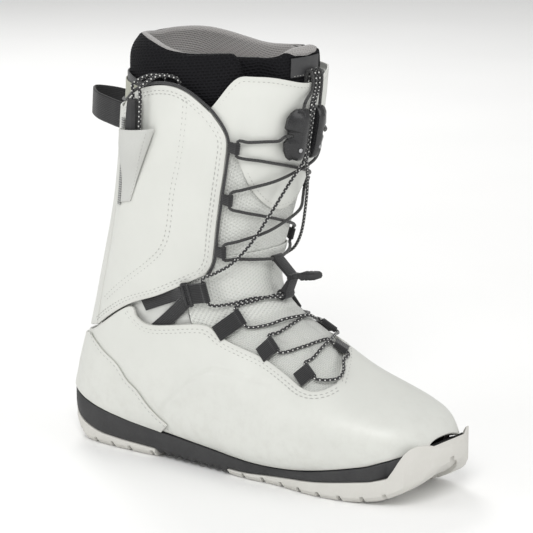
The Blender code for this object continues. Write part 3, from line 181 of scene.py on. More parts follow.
# ---- materials ---------------------------------------------------------------------------------------------
class Shader:
    """A Principled material with short calls for its texture nodes."""

    def __init__(self, name, rough, **sockets):
        self.mat = bpy.data.materials.new(name)
        self.mat.use_nodes = True
        self.tree = self.mat.node_tree
        self.bsdf = self.tree.nodes["Principled BSDF"]
        self.bsdf.inputs["Roughness"].default_value = rough
        for key, value in sockets.items():
            self.bsdf.inputs[key.replace("_", " ")].default_value = value
        self.height = None

    def node(self, kind, inputs=None, **settings):
        n = self.tree.nodes.new(kind)
        for key, value in settings.items():
            setattr(n, key, value)
        for key, value in (inputs or {}).items():
            socket = n.inputs[key]
            if isinstance(value, bpy.types.NodeSocket):
                self.tree.links.new(value, socket)
            else:
                socket.default_value = value
        return n

    def object_mm(self):
        """Place on the object, in millimetres."""
        c = self.node("ShaderNodeTexCoord")
        m = self.node("ShaderNodeVectorMath", {0: c.outputs["Object"]}, operation="SCALE")
        m.inputs["Scale"].default_value = 1000
        return m.outputs[0]

    def cloth_mm(self, scale=(1, 1, 1), turn=0.0):
        """Place along the cloth, in millimetres, from the piece's own map."""
        c = self.node("ShaderNodeUVMap", uv_map="cloth_mm")
        m = self.node("ShaderNodeMapping", {"Vector": c.outputs[0], "Rotation": (0, 0, turn), "Scale": scale})
        return m.outputs[0]

    def noise(self, place, scale, detail=3.0, rough=0.5):
        return self.node("ShaderNodeTexNoise", {"Vector": place, "Scale": scale, "Detail": detail, "Roughness": rough}).outputs[0]

    def ramp(self, fac, *stops):
        n = self.node("ShaderNodeValToRGB", {"Fac": fac})
        n.color_ramp.elements[0].position, n.color_ramp.elements[0].color = stops[0][0], (*stops[0][1], 1)
        n.color_ramp.elements[1].position, n.color_ramp.elements[1].color = stops[-1][0], (*stops[-1][1], 1)
        for at, colour in stops[1:-1]:
            e = n.color_ramp.elements.new(at)
            e.color = (*colour, 1)
        return n.outputs[0]

    def math(self, op, a, b=0.0, c=None):
        inputs = {0: a, 1: b}
        if c is not None:
            inputs[2] = c
        return self.node("ShaderNodeMath", inputs, operation=op).outputs[0]

    def mix(self, fac, a, b, kind="MIX"):
        n = self.node("ShaderNodeMix", data_type="RGBA", blend_type=kind)
        for socket, value in ((n.inputs[0], fac), (n.inputs[6], a), (n.inputs[7], b)):
            if isinstance(value, bpy.types.NodeSocket):
                self.tree.links.new(value, socket)
            elif socket == n.inputs[0]:
                socket.default_value = value
            else:
                socket.default_value = (*value, 1)
        return n.outputs[2]

    def colour(self, value):
        self.tree.links.new(value, self.bsdf.inputs["Base Color"])

    def rough(self, fac, low, high):
        n = self.node("ShaderNodeMapRange", {0: fac, 3: low, 4: high})
        self.tree.links.new(n.outputs[0], self.bsdf.inputs["Roughness"])

    def bump(self, fac, distance_mm, strength=1.0):
        inputs = {"Height": fac, "Distance": distance_mm * MM, "Strength": strength}
        if self.height is not None:
            inputs["Normal"] = self.height
        n = self.node("ShaderNodeBump", inputs)
        self.height = n.outputs[0]
        self.tree.links.new(self.height, self.bsdf.inputs["Normal"])

    def edge(self):
        """0 at the cut edge of a panel, 1 from 5 mm inside it."""
        return self.node("ShaderNodeAttribute", attribute_name="from_edge").outputs["Fac"]


def make_leather(name, light, dark, dust=(0.50, 0.49, 0.455)):
    s = Shader(name, 0.45, Specular_IOR_Level=0.42, Coat_Weight=0.06, Coat_Roughness=0.35)
    at = s.object_mm()
    tone = s.ramp(s.noise(at, 0.035, 4, 0.55), (0.3, dark), (0.7, light))
    low = s.node("ShaderNodeSeparateXYZ", {0: at}).outputs[2]
    near_sole = s.node("ShaderNodeMapRange", {0: low, 1: 85.0, 2: 25.0, 3: 0.0, 4: 0.35}).outputs[0]
    scuff = s.math("MULTIPLY", near_sole, s.ramp(s.noise(at, 0.12, 6, 0.7), (0.45, (0, 0, 0)), (0.72, (1, 1, 1))))
    tone = s.mix(scuff, tone, dust)
    rim = s.math("SUBTRACT", 1.0, s.edge())
    tone = s.mix(s.math("MULTIPLY", rim, 0.22), tone, dust)
    s.colour(tone)
    grain = s.node("ShaderNodeTexVoronoi", {"Vector": at, "Scale": 1.35, "Randomness": 0.9}, feature="SMOOTH_F1").outputs[0]
    s.bump(grain, 0.10, 0.30)
    s.bump(s.noise(at, 3.2, 3, 0.6), 0.05, 0.25)
    s.bump(s.noise(at, 0.09, 2, 0.4), 0.9, 0.16)
    s.rough(s.noise(at, 0.22, 4, 0.6), 0.36, 0.56)
    return s.mat


def make_mesh_fabric(name, yarn, hole, cell=(2.6, 1.5), depth=0.35, sheen=0.3, turn=0.0, rib=0.0, gloss=0.5):
    """Knitted mesh: rows of cells set half a cell apart, with holes softly darkened by painted shade."""
    s = Shader(name, 0.85, Sheen_Weight=sheen, Sheen_Roughness=0.5, Specular_IOR_Level=gloss)
    place = s.cloth_mm(turn=turn)
    wobble = s.noise(place, 0.35, 2)
    place = s.node("ShaderNodeVectorMath", {0: place, 1: s.node("ShaderNodeCombineXYZ", {0: s.math("MULTIPLY", wobble, 0.5)}).outputs[0]},
                   operation="ADD").outputs[0]
    brick = s.node("ShaderNodeTexBrick", {"Vector": place, "Color1": (1, 1, 1, 1), "Color2": (0.82, 0.82, 0.82, 1),
                                          "Mortar": (0, 0, 0, 1), "Scale": 1.0, "Mortar Size": cell[1] * 0.42,
                                          "Mortar Smooth": 1.0, "Bias": 0.0, "Brick Width": cell[0], "Row Height": cell[1]})
    brick.offset = 0.5
    raised = s.node("ShaderNodeMath", {0: brick.outputs["Fac"]}, operation="POWER").outputs[0]
    # Painted shade in the holes: the cells take the darker hole colour, and the raised yarn between them takes the yarn
    # colour.
    tone = s.ramp(raised, (0.0, hole), (0.75, yarn))
    tone = s.mix(0.35, tone, s.ramp(s.noise(place, 1.9, 2), (0.35, hole), (0.65, yarn)))
    shade = s.ramp(s.noise(s.object_mm(), 0.03, 2), (0.35, tuple(c * 0.93 for c in yarn)), (0.65, yarn))
    s.colour(s.mix(0.30, tone, shade))
    s.bump(brick.outputs["Fac"], depth, 0.9)
    s.bump(s.noise(place, 2.6, 2), 0.08, 0.6)
    if rib:
        wave = s.node("ShaderNodeTexWave", {"Vector": place, "Scale": 1 / rib * math.pi / 10}, bands_direction="Y").outputs[1]
        s.bump(wave, 0.8, 0.5)
    return s.mat


def make_web(name, tone, light, pitch=1.05, depth=0.22, across="X"):
    """Webbing: ribs across the strap, with a fine thread on each."""
    s = Shader(name, 0.82, Sheen_Weight=0.25, Sheen_Roughness=0.5)
    place = s.cloth_mm()
    wave = s.node("ShaderNodeTexWave", {"Vector": place, "Scale": 2 * math.pi / (20 * pitch)}, bands_direction=across).outputs[1]
    thread = s.node("ShaderNodeTexWave", {"Vector": place, "Scale": 2 * math.pi / (20 * pitch * 0.62)},
                    bands_direction="X" if across == "Y" else "Y").outputs[1]
    both = s.math("MULTIPLY", wave, s.math("ADD", s.math("MULTIPLY", thread, 0.4), 0.6))
    # Painted shade and highlight: the colour follows the rib height, darker in the troughs and lighter on the crests.
    rib_painted_shading = s.ramp(both, (0.15, tone), (0.9, light))
    s.colour(s.mix(0.25, rib_painted_shading, s.ramp(s.noise(place, 0.9, 3), (0.3, tone), (0.7, light))))
    s.bump(both, depth, 0.9)
    return s.mat


def make_braid(name, ground, fleck, share):
    """Round braided cord. share sets how much of the braid shows as light flecks."""
    s = Shader(name, 0.7, Sheen_Weight=0.2)
    c = s.node("ShaderNodeUVMap", uv_map="cloth_mm")
    xyz = s.node("ShaderNodeSeparateXYZ", {0: c.outputs[0]})
    around, along = xyz.outputs[0], xyz.outputs[1]
    left = s.math("SINE", s.math("MULTIPLY", s.math("ADD", s.math("MULTIPLY", around, 3.0), s.math("MULTIPLY", along, 0.42)), 2 * math.pi))
    right = s.math("SINE", s.math("MULTIPLY", s.math("SUBTRACT", s.math("MULTIPLY", around, 3.0), s.math("MULTIPLY", along, 0.42)), 2 * math.pi))
    height = s.math("ADD", s.math("MULTIPLY", s.math("MAXIMUM", left, right), 0.5), 0.5)
    s.bump(height, 0.22, 0.9)
    twice = s.math("MULTIPLY", around, 2.0)
    first = s.math("SINE", s.math("MULTIPLY", s.math("ADD", twice, s.math("MULTIPLY", along, 0.30)), 2 * math.pi))
    second = s.math("SINE", s.math("MULTIPLY", s.math("SUBTRACT", twice, s.math("MULTIPLY", along, 0.30)), 2 * math.pi))
    light = s.math("MULTIPLY", s.math("MAXIMUM", first, 0.0), s.math("MAXIMUM", second, 0.0))
    light = s.math("GREATER_THAN", light, share)
    # Painted shade and highlight: the ground colour is halved in the braid's low spots and raised by half on its
    # crests, following the bump height.
    yarn = s.ramp(height, (0.3, tuple(g * 0.5 for g in ground)), (0.95, tuple(min(1, g * 1.5) for g in ground)))
    s.colour(s.mix(light, yarn, fleck))
    return s.mat


def make_moulded(name, tone, light, rough=(0.35, 0.5), grain=0.9, depth=0.05, scuff=0.25, **sockets):
    """Moulded plastic, rubber or foam: a fine texture with paler wear."""
    s = Shader(name, rough[0], **sockets)
    at = s.object_mm()
    worn = s.ramp(s.noise(at, 0.35, 6, 0.7), (0.52, (0, 0, 0)), (0.75, (1, 1, 1)))
    base = s.ramp(s.noise(at, 0.08, 3), (0.3, tone), (0.7, tuple(0.7 * a + 0.3 * b for a, b in zip(tone, light))))
    s.colour(s.mix(s.math("MULTIPLY", worn, scuff), base, light))
    s.bump(s.noise(at, grain, 2, 0.6), depth, 0.5)
    s.rough(s.noise(at, 0.5, 3), *rough)
    return s.mat


WHITE = make_leather("white_leather", (0.640, 0.648, 0.612), (0.618, 0.626, 0.591))
# The second colour of each knitted mesh is the painted shade in its holes.
GREY_MESH = make_mesh_fabric("grey_mesh", (0.66, 0.67, 0.635), (0.42, 0.43, 0.41), (2.4, 1.5), 0.45)
RIB_MESH = make_mesh_fabric("ribbed_mesh", (0.66, 0.67, 0.635), (0.42, 0.43, 0.41), (2.4, 2.3), 0.55, turn=math.radians(33), rib=2.3)
GUSSET = make_mesh_fabric("gusset_fabric", (0.66, 0.665, 0.64), (0.58, 0.585, 0.56), (1.1, 0.9), 0.10)
POCKET = make_mesh_fabric("pocket_fabric", (0.56, 0.565, 0.54), (0.48, 0.485, 0.46), (0.9, 0.8), 0.07, sheen=0.15)
LINER = make_mesh_fabric("liner_mesh", (0.013, 0.013, 0.015), (0.001, 0.001, 0.001), (3.3, 2.1), 0.9, sheen=0.0, gloss=0.12)
LINING = make_mesh_fabric("liner_lining", (0.36, 0.345, 0.335), (0.17, 0.165, 0.165), (2.7, 1.6), 0.40, sheen=0.35)
OLIVE = make_mesh_fabric("olive_fabric", (0.36, 0.365, 0.29), (0.27, 0.275, 0.21), (0.9, 0.8), 0.09)
# Each webbing runs from its first colour in the rib troughs to its second colour on the crests, as painted shade and
# highlight.
WEBBING = make_web("black_webbing", (0.003, 0.003, 0.004), (0.022, 0.022, 0.023), 1.25)
ZIP = make_web("zip_tape", (0.10, 0.10, 0.10), (0.46, 0.47, 0.45), 1.6, 0.3, "Y")
BINDING = make_web("edge_binding", (0.014, 0.014, 0.015), (0.05, 0.05, 0.052), 1.2, 0.14, "Y")
# Each braid's ground colour gets painted shade in its low spots and painted highlight on its crests; the fleck colour
# is the lace's own.
BRAID_DARK = make_braid("dark_lace", (0.024, 0.024, 0.024), (0.050, 0.050, 0.049), 0.55)
BRAID_FLECK = make_braid("speckled_lace", (0.010, 0.010, 0.011), (0.60, 0.60, 0.58), 0.30)
PLASTIC = make_moulded("black_plastic", (0.009, 0.009, 0.010), (0.030, 0.030, 0.032), (0.22, 0.34), 1.4, 0.03, 0.3,
                       Specular_IOR_Level=0.55)
SOFT_RUBBER = make_moulded("soft_rubber", (0.016, 0.016, 0.017), (0.045, 0.045, 0.045), (0.55, 0.7), 0.9, 0.06, 0.3)
EVA = make_moulded("midsole_foam", (0.024, 0.024, 0.025), (0.050, 0.050, 0.051), (0.55, 0.72), 1.1, 0.09, 0.35)
OUTSOLE = make_moulded("outsole_rubber", (0.56, 0.55, 0.515), (0.63, 0.62, 0.59), (0.55, 0.72), 0.8, 0.10, 0.4)
BOARD = make_moulded("lasting_board", (0.30, 0.25, 0.18), (0.42, 0.36, 0.27), (0.8, 0.9), 0.9, 0.10, 0.5)
FOOTBED = make_mesh_fabric("footbed_fabric", (0.10, 0.10, 0.11), (0.04, 0.04, 0.045), (1.6, 1.1), 0.15)
STEEL = make_moulded("screw_steel", (0.42, 0.42, 0.43), (0.6, 0.6, 0.6), (0.25, 0.4), 1.5, 0.02, 0.3, Metallic=1.0)
THREAD = make_moulded("thread", (0.40, 0.40, 0.38), (0.50, 0.50, 0.48), (0.6, 0.8), 2.0, 0.04, 0.3)
PATCH = make_moulded("label_patch", (0.030, 0.030, 0.032), (0.07, 0.07, 0.07), (0.4, 0.55), 1.1, 0.05, 0.2)


# ---- pieces --------------------------------------------------------------------------------------------------
def place_uv(obj, uv):
    """The cloth map: one (across, along) pair in millimetres for each vertex."""
    layer = obj.data.uv_layers.new(name="cloth_mm")
    loops = np.zeros(len(obj.data.loops), int)
    obj.data.loops.foreach_get("vertex_index", loops)
    layer.data.foreach_set("uv", np.asarray(uv, float)[loops].astype(np.float32).ravel())


def make(name, verts, faces, mats, uv=None, smooth_faces=True):
    mesh = bpy.data.meshes.new(name)
    mesh.from_pydata(np.asarray(verts).tolist(), [], [tuple(int(i) for i in f) for f in faces])
    obj = bpy.data.objects.new(name, mesh)
    bpy.context.scene.collection.objects.link(obj)
    for m in mats if isinstance(mats, (list, tuple)) else [mats]:
        mesh.materials.append(m)
    if uv is not None:
        place_uv(obj, uv)
    if smooth_faces:
        mesh.shade_smooth()
    return obj


def grid_faces(rows, cols, wrap=False):
    i, j = np.meshgrid(np.arange(rows - 1), np.arange(cols if wrap else cols - 1), indexing="ij")
    a, b = i * cols + j, i * cols + (j + 1) % cols
    return np.stack([a, b, b + cols, a + cols], -1).reshape(-1, 4)


def outward_faces(obj):
    bm = bmesh.new()
    bm.from_mesh(obj.data)
    bmesh.ops.recalc_face_normals(bm, faces=bm.faces)
    bm.to_mesh(obj.data)
    bm.free()
    return obj


def applied(obj):
    """The object's modifiers, made part of its mesh."""
    graph = bpy.context.evaluated_depsgraph_get()
    mesh = bpy.data.meshes.new_from_object(obj.evaluated_get(graph))
    obj.modifiers.clear()
    obj.data = mesh
    mesh.name = obj.name
    return obj


def finish_piece(obj, slot, *nodes, body=None):
    """Puts a piece on its body, in place of its CAD nodes."""
    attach(obj, body or BODY[nodes[0]])
    if nodes:
        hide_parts(*nodes)
    return obj


def surface_mm(pts, wrap):
    """Distances across and along a grid of points, for its cloth map."""
    across = np.linalg.norm(np.diff(pts, axis=1), axis=2)
    across = np.concatenate([np.zeros((len(pts), 1)), np.cumsum(across, 1)], 1)
    across -= across[:, across.shape[1] // 2][:, None]
    along = np.linalg.norm(np.diff(pts, axis=0), axis=2)
    along = np.concatenate([np.zeros((1, pts.shape[1])), np.cumsum(along, 0)], 0)
    return np.stack([across, along.mean(1, keepdims=True) * np.ones((1, pts.shape[1]))], -1)


def dented(pts, depth=0.35):
    """Soft unevenness of worn-in leather, as a height for each point."""
    x, y, z = (pts[..., i] for i in range(3))
    return depth * (np.sin(x / 13 + z / 23 + 1.3) * np.sin(y / 17 - z / 31) + 0.6 * np.sin(z / 9.5 + y / 21 + x / 15)
                    * np.sin(x / 27 + 2.1)) / 1.6


def groove(kv, lines, depth, width):
    """How far points on the last sink beside embossed lines."""
    p = last(kv[..., 0], kv[..., 1]).reshape(-1, 3)
    sink = np.zeros(len(p))
    for line in lines:
        q = last(line[:, 0], line[:, 1])
        for start in range(0, len(p), 4000):
            d = np.min(((p[start:start + 4000, None] - q[None])**2).sum(-1), axis=1)
            sink[start:start + 4000] = np.maximum(sink[start:start + 4000], np.exp(-d / width**2))
    return -depth * sink.reshape(kv.shape[:-1])


def panel(name, kv, off, thick, mat, wrap=False, lines=(), line_depth=0.45, line_width=1.0, dents=0.3, edge_round=0.45,
          shape=None):
    """A sheet of leather or cloth on the last, with its thickness and rounded cut edges."""
    k, v = kv[..., 0], kv[..., 1]
    o = off(k, v) if callable(off) else np.full(k.shape, float(off))
    rows, cols = k.shape
    base = last(k, v)
    inside_r = np.minimum(np.arange(rows), np.arange(rows)[::-1])[:, None] * np.ones((1, cols))
    size_r = np.linalg.norm(base[1] - base[0], axis=-1).mean()
    d_edge = inside_r * size_r
    if not wrap:
        size_c = np.linalg.norm(np.diff(base, axis=1), axis=-1).mean()
        d_edge = np.minimum(d_edge, np.minimum(np.arange(cols), np.arange(cols)[::-1])[None, :] * size_c)
    inner = step01(d_edge / 6.0)
    if dents:
        o = o + dented(base, dents) * inner
    if len(lines):
        o = o + groove(kv, lines, line_depth, line_width)
    pts = skin(k, v, o)
    if shape is not None:
        pts = shape(pts, k, v)
    uv = surface_mm(pts, wrap)
    faces = grid_faces(rows, cols, wrap)
    flat = world(pts).reshape(-1, 3)
    ref = outward(k, v).reshape(-1, 3) * np.array([1, -1, 1])
    probe = faces[len(faces) // 2]
    n = np.cross(flat[probe[1]] - flat[probe[0]], flat[probe[3]] - flat[probe[0]])
    if (n * ref[probe[0]]).sum() < 0:
        faces = faces[:, ::-1]
    obj = make(name, flat, faces, mat, uv.reshape(-1, 2))
    edge = obj.data.attributes.new("from_edge", "FLOAT", "POINT")
    edge.data.foreach_set("value", np.clip(d_edge / 5.0, 0, 1).astype(np.float32).ravel())
    m = obj.modifiers.new("thickness", "SOLIDIFY")
    m.thickness, m.offset, m.use_even_offset = thick * MM, -1, shape is None
    if edge_round:
        b = obj.modifiers.new("edges", "BEVEL")
        b.width, b.segments, b.limit_method, b.angle_limit = edge_round * MM, 2, "ANGLE", math.radians(50)
    return applied(obj)


def refined(node, mat, width=0.4, angle=32, segments=2, name=None, slot=None, ready=True):
    """A hard part: the CAD solid with its facets joined and its edges rounded."""
    obj = bpy.data.objects.new(name or node + "_part", NODES[node].data.copy())
    bpy.context.scene.collection.objects.link(obj)
    bm = bmesh.new()
    bm.from_mesh(obj.data)
    bmesh.ops.remove_doubles(bm, verts=bm.verts, dist=2e-5)
    bmesh.ops.dissolve_limit(bm, angle_limit=math.radians(2.0), verts=bm.verts, edges=bm.edges)
    bmesh.ops.recalc_face_normals(bm, faces=bm.faces)
    bm.to_mesh(obj.data)
    bm.free()
    if width:
        b = obj.modifiers.new("edges", "BEVEL")
        b.width, b.segments, b.limit_method, b.angle_limit = width * MM, segments, "ANGLE", math.radians(angle)
        b.use_clamp_overlap = True
    applied(obj)
    obj.data.materials.clear()
    obj.data.materials.append(mat)
    bpy.context.view_layer.objects.active = obj
    obj.data.shade_smooth()
    obj.data.set_sharp_from_angle(angle=math.radians(38))
    if ready:
        finish_piece(obj, slot or mat.name.split(".")[0], node)
    return obj


def cord(name, pts, diameter, mat, sides=10, ends=True):
    """Round cord with a map that runs round and along it."""
    pts = np.asarray(pts, float)
    n = len(pts)
    tangent = np.gradient(pts, axis=0)
    tangent /= np.linalg.norm(tangent, axis=1, keepdims=True)
    side = np.cross(tangent[0], [0, 0, 1.0])
    if np.linalg.norm(side) < 0.1:
        side = np.cross(tangent[0], [1.0, 0, 0])
    rings, length = [], 0.0
    uv = []
    for i in range(n):
        side = unit(side - tangent[i] * np.dot(side, tangent[i]))
        other = np.cross(tangent[i], side)
        turn = np.linspace(0, 2 * np.pi, sides + 1)
        rings.append(pts[i] + (np.cos(turn)[:, None] * side + np.sin(turn)[:, None] * other) * diameter / 2)
        length += np.linalg.norm(pts[i] - pts[i - 1]) if i else 0
        uv += [(j / sides, length) for j in range(sides + 1)]
    verts = world(np.array(rings)).reshape(-1, 3)
    cols = sides + 1
    faces = [tuple(f) for f in grid_faces(n, cols)]
    faces += [tuple(range(sides - 1, -1, -1)), tuple((n - 1) * cols + j for j in range(sides))]
    obj = make(name, verts, faces, mat, uv)
    bm = bmesh.new()
    bm.from_mesh(obj.data)
    bmesh.ops.remove_doubles(bm, verts=bm.verts, dist=1e-6)
    bmesh.ops.recalc_face_normals(bm, faces=bm.faces)
    bm.to_mesh(obj.data)
    bm.free()
    return obj


def stitches(name, rows, mat, body, length=2.5, gap=1.3, width=0.55, height=0.35):
    """Rows of thread stitches. Each row is (points, normals) along a seam."""
    verts, faces = [], []
    for pts, normals in rows:
        s = np.concatenate([[0], np.cumsum(np.linalg.norm(np.diff(pts, axis=0), axis=1))])
        at = np.arange(gap, s[-1] - length - gap, length + gap)
        for a in at:
            p = [np.array([np.interp(a + length * t, s, pts[:, c]) for c in range(3)]) for t in (0, 0.5, 1)]
            n = unit([np.interp(a + length / 2, s, normals[:, c]) for c in range(3)])
            along = unit(p[2] - p[0])
            side = np.cross(n, along)
            base = len(verts)
            for t, w, h in ((0, 0.25, -0.5), (0.22, 1, 0.7), (0.5, 1.1, 1), (0.78, 1, 0.7), (1, 0.25, -0.5)):
                c = p[0] + (p[2] - p[0]) * t
                for sx, sh in ((-1, -0.6), (-0.7, 0.7), (0, 1), (0.7, 0.7), (1, -0.6)):
                    verts.append(c + side * sx * w * width / 2 + n * (height * h * (0.5 + 0.5 * sh) - 0.12))
            for i in range(4):
                for j in range(5):
                    q = (base + i * 5 + j, base + i * 5 + (j + 1) % 5, base + (i + 1) * 5 + (j + 1) % 5, base + (i + 1) * 5 + j)
                    faces.append(q)
            faces.append(tuple(base + j for j in range(4, -1, -1)))
            faces.append(tuple(base + 20 + j for j in range(5)))
    obj = make(name, world(np.array(verts)), faces, mat)
    outward_faces(obj)
    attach(obj, body)
    return obj


def seam_row(kv, beside, off, n=None):
    """A stitched row beside an edge, as points on the surface and their normals."""
    kv = smooth(kv, n or 160)
    p = skin(kv[:, 0], kv[:, 1], off)
    normal = outward(kv[:, 0], kv[:, 1])
    t = np.gradient(p, axis=0)
    s = np.cross(t, normal)
    s /= np.linalg.norm(s, axis=1, keepdims=True)
    return p + s * beside, normal


def both_rows(kv, *beside, off=0.0):
    """The same rows on the lateral and the medial side."""
    rows = []
    for b in beside:
        rows.append(seam_row(kv, b, off))
        rows.append(seam_row(medial(kv), -b, off))
    return rows


# ---- lower shell, heel counter, cuff ---------------------------------------------------------------------------
FEATHER = [(7.309, 0.0), (7.357, 0.0515), (7.43, 0.0791), (7.55, 0.1005), (7.716, 0.1187), (7.926, 0.1316), (8.178, 0.1397),
           (8.47, 0.143), (8.797, 0.1432), (9.156, 0.1429), (9.544, 0.1394), (9.955, 0.1347), (10.386, 0.1301),
           (10.83, 0.1239), (11.284, 0.119), (11.743, 0.1166), (12.2, 0.1122), (12.652, 0.1182), (13.093, 0.131),
           (13.517, 0.1432), (13.921, 0.1545), (14.299, 0.1632), (14.649, 0.1791), (14.964, 0.1936), (15.243, 0.2122),
           (15.482, 0.2464), (15.677, 0.2825), (15.828, 0.3127), (15.933, 0.3332), (15.989, 0.3434), (16, 0.5)]
THROAT_L = [(6.08, 0.0), (6.1, 0.07), (6.08, 0.137), (5.62, 0.213), (6.02, 0.231), (6.36, 0.255), (6.91, 0.332), (7.87, 0.350),
            (9.3, 0.358), (11.14, 0.361), (11.8, 0.369), (12.12, 0.392), (12.16, 0.425)]
THROAT_M = [(6.08, 1.0), (6.1, 0.93), (6.08, 0.863), (5.62, 0.787), (6.02, 0.769), (6.36, 0.745), (6.91, 0.66), (7.87, 0.625),
            (9.3, 0.600), (10.3, 0.575), (10.9, 0.535), (11.35, 0.495), (11.85, 0.452), (12.16, 0.425)]
HEEL_SEAM = [(6.13, 0.126), (6.62, 0.161), (7.43, 0.200), (8.3, 0.206), (9.0, 0.19), (9.65, 0.166), (10.00, 0.1525), (10.22, 0.1440)]
REAR_EDGE = [(6.02, 0.1395), (5.37, 0.1395), (4.35, 0.1405), (3.4, 0.139), (2.4, 0.136), (1.45, 0.132)]
CUFF_TOP = [(1.45, 0.132), (1.12, 0.167), (0.93, 0.202), (0.86, 0.245), (0.97, 0.282), (1.30, 0.320)]
CUFF_FRONT = [(4.86, 0.354), (4.4, 0.3635), (3.49, 0.360), (3.0, 0.358), (2.29, 0.352), (1.75, 0.346), (1.30, 0.320)]
CUFF_LOW = [(6.02, 0.1395), (5.55, 0.212), (5.34, 0.278), (4.86, 0.354)]
DECOR_SEAM = [(1.02, 0.276), (2.04, 0.276), (2.82, 0.274), (3.79, 0.275), (4.41, 0.242), (5.37, 0.150)]
VAMP_LINE = [(9.53, 0.174), (9.28, 0.235), (9.16, 0.279), (9.26, 0.296), (10.0, 0.308), (10.92, 0.326)]


def paced(points, n, share):
    """Points along a line, with given control points at given shares of the run."""
    index, at = zip(*share)
    return hermite(points, np.interp(np.linspace(0, 1, n + 1), at, index))


def feather_path(side, n):
    return smooth(FEATHER if side < 0 else medial(FEATHER), n)


def rows_between(low, top, rows):
    t = np.linspace(0, 1, rows)[:, None, None]
    return (1 - t) * low[None] + t * top[None]


COLS = 230
throat_l = paced(THROAT_L, COLS, [(0, 0), (2, 0.10), (3, 0.20), (5, 0.26), (6, 0.35), (8, 0.50), (9, 0.62), (12, 1.0)])
throat_m = paced(THROAT_M, COLS, [(0, 0), (2, 0.10), (3, 0.20), (5, 0.26), (6, 0.35), (8, 0.48), (10, 0.60), (11, 0.68), (13, 1.0)])
shell_kv = np.concatenate([rows_between(feather_path(-1, COLS), throat_l, 44)[:, :-1],
                           rows_between(feather_path(1, COLS), throat_m, 44)[:, ::-1][:, :-1]], axis=1)
vamp = smooth(VAMP_LINE, 90)
shell = panel("shell_leather", shell_kv, 0.0, LEATHER, WHITE, wrap=True, lines=[vamp, medial(vamp)], line_depth=0.85, line_width=0.9)
finish_piece(shell, "white_leather", "shell_lower")

feather_l = feather_path(-1, 600)
end = int(np.argmin(np.abs(feather_l[:, 0] - 10.24)))
counter_low = smooth(feather_l[:end + 1:18], 120)
counter_low[:, 0] -= 0.05 * (1 - np.linspace(0, 1, 121))
counter_top = np.concatenate([smooth([(6.2, 0.0), (6.2, 0.06), (6.2, 0.112)], 30), smooth([(6.2, 0.124)] + HEEL_SEAM[1:], 90)[1:]])
half_counter = rows_between(counter_low[:114], counter_top[:114], 26)
counter = panel("heel_leather", np.concatenate([medial(half_counter)[:, ::-1][:, :-1], half_counter], axis=1), 1.8, 1.2, WHITE,
                dents=0.2, edge_round=0.4)
finish_piece(counter, "white_leather", "heel_counter")

patch = coons(smooth(CUFF_LOW, 64), smooth(CUFF_TOP, 64), smooth(REAR_EDGE, 88), smooth(CUFF_FRONT, 88))
decor = smooth(DECOR_SEAM, 120)
for name, kv, seam in (("lateral", patch, decor), ("medial", medial(patch), medial(decor))):
    piece = panel("cuff_leather_" + name, kv, 0.0, LEATHER, WHITE, lines=[seam], line_depth=0.35, line_width=1.6)
    finish_piece(piece, "white_leather", "cuff_" + name)

side_edge = smooth(REAR_EDGE, 80)
side_edge[:, 1] -= 0.0016
side_edge[0, 0] = 6.0
rear = np.stack([np.stack([side_edge[:, 0], side_edge[:, 1] * s], -1) for s in np.linspace(-1, 1, 60)], 1)
finish_piece(panel("cuff_leather_rear", rear, 0.0, LEATHER, WHITE), "white_leather", "cuff_rear")

tab_v = np.linspace(-0.20, 0.20, 80)
tab_top = 0.93 + 0.08 * np.abs(np.linspace(-1, 1, 80))**3
tab_kv = np.stack([np.stack([np.linspace(2.0, t, 24), np.full(24, v)], -1) for v, t in zip(tab_v, tab_top)], 1)
finish_piece(panel("back_tab_fabric", tab_kv, -3.1, 0.8, OLIVE, dents=0.4, edge_round=0.25), "olive_fabric", "back_tab")

lining_v = np.linspace(-0.288, 0.288, 120)
lining_top = np.interp(np.abs(lining_v), [0, 0.13, 0.18, 0.21, 0.27, 0.288], [0.80, 0.82, 0.90, 1.0, 1.03, 1.03])
lining_kv = np.stack([np.stack([np.linspace(2.0, t, 22), np.full(22, v)], -1) for v, t in zip(lining_v, lining_top)], 1)
finish_piece(panel("cuff_lining_fabric", lining_kv, -4.3, 0.9, BINDING, dents=0.2, edge_round=0.25), "black_webbing", "cuff_lining")


def beside(kv, distance, off):
    """Points beside an edge, moved along the surface and square to the edge."""
    kv = np.asarray(kv, float)
    p = skin(kv[:, 0], kv[:, 1], off)
    s = np.cross(np.gradient(p, axis=0), outward(kv[:, 0], kv[:, 1]))
    return p + s / np.linalg.norm(s, axis=1, keepdims=True) * distance


def spaced(path, step):
    """The same path with even steps."""
    path = np.asarray(path, float)
    s = np.concatenate([[0], np.cumsum(np.linalg.norm(np.diff(path, axis=0), axis=1))])
    n = max(2, int(round(s[-1] / step)))
    at = np.linspace(0, s[-1], n + 1)
    return np.stack([np.interp(at, s, path[:, c]) for c in range(3)], 1)


BINDING_GAP = 1.65
binding_kv = np.concatenate([smooth(CUFF_FRONT, 40), smooth(CUFF_TOP, 24)[::-1][1:]])


def binding(side):
    kv = binding_kv if side < 0 else medial(binding_kv)
    v = np.linspace(0.118, 0.0, 9)[1:]
    behind = skin(np.full(8, 1.36), v if side < 0 else 1 - v, -LEATHER / 2)
    return np.concatenate([beside(kv, BINDING_GAP * side, -LEATHER / 2)[:-2], behind])


left, right = binding(-1), binding(1)
edging = spaced(np.concatenate([left, right[::-1][1:]])[::2], 6.0)
edging = spaced(hermite(edging, np.linspace(0, len(edging) - 1, 700)), 1.8)
finish_piece(cord("cuff_edging", edging, 2.0, BINDING, 10), "black_webbing", "cuff_binding")

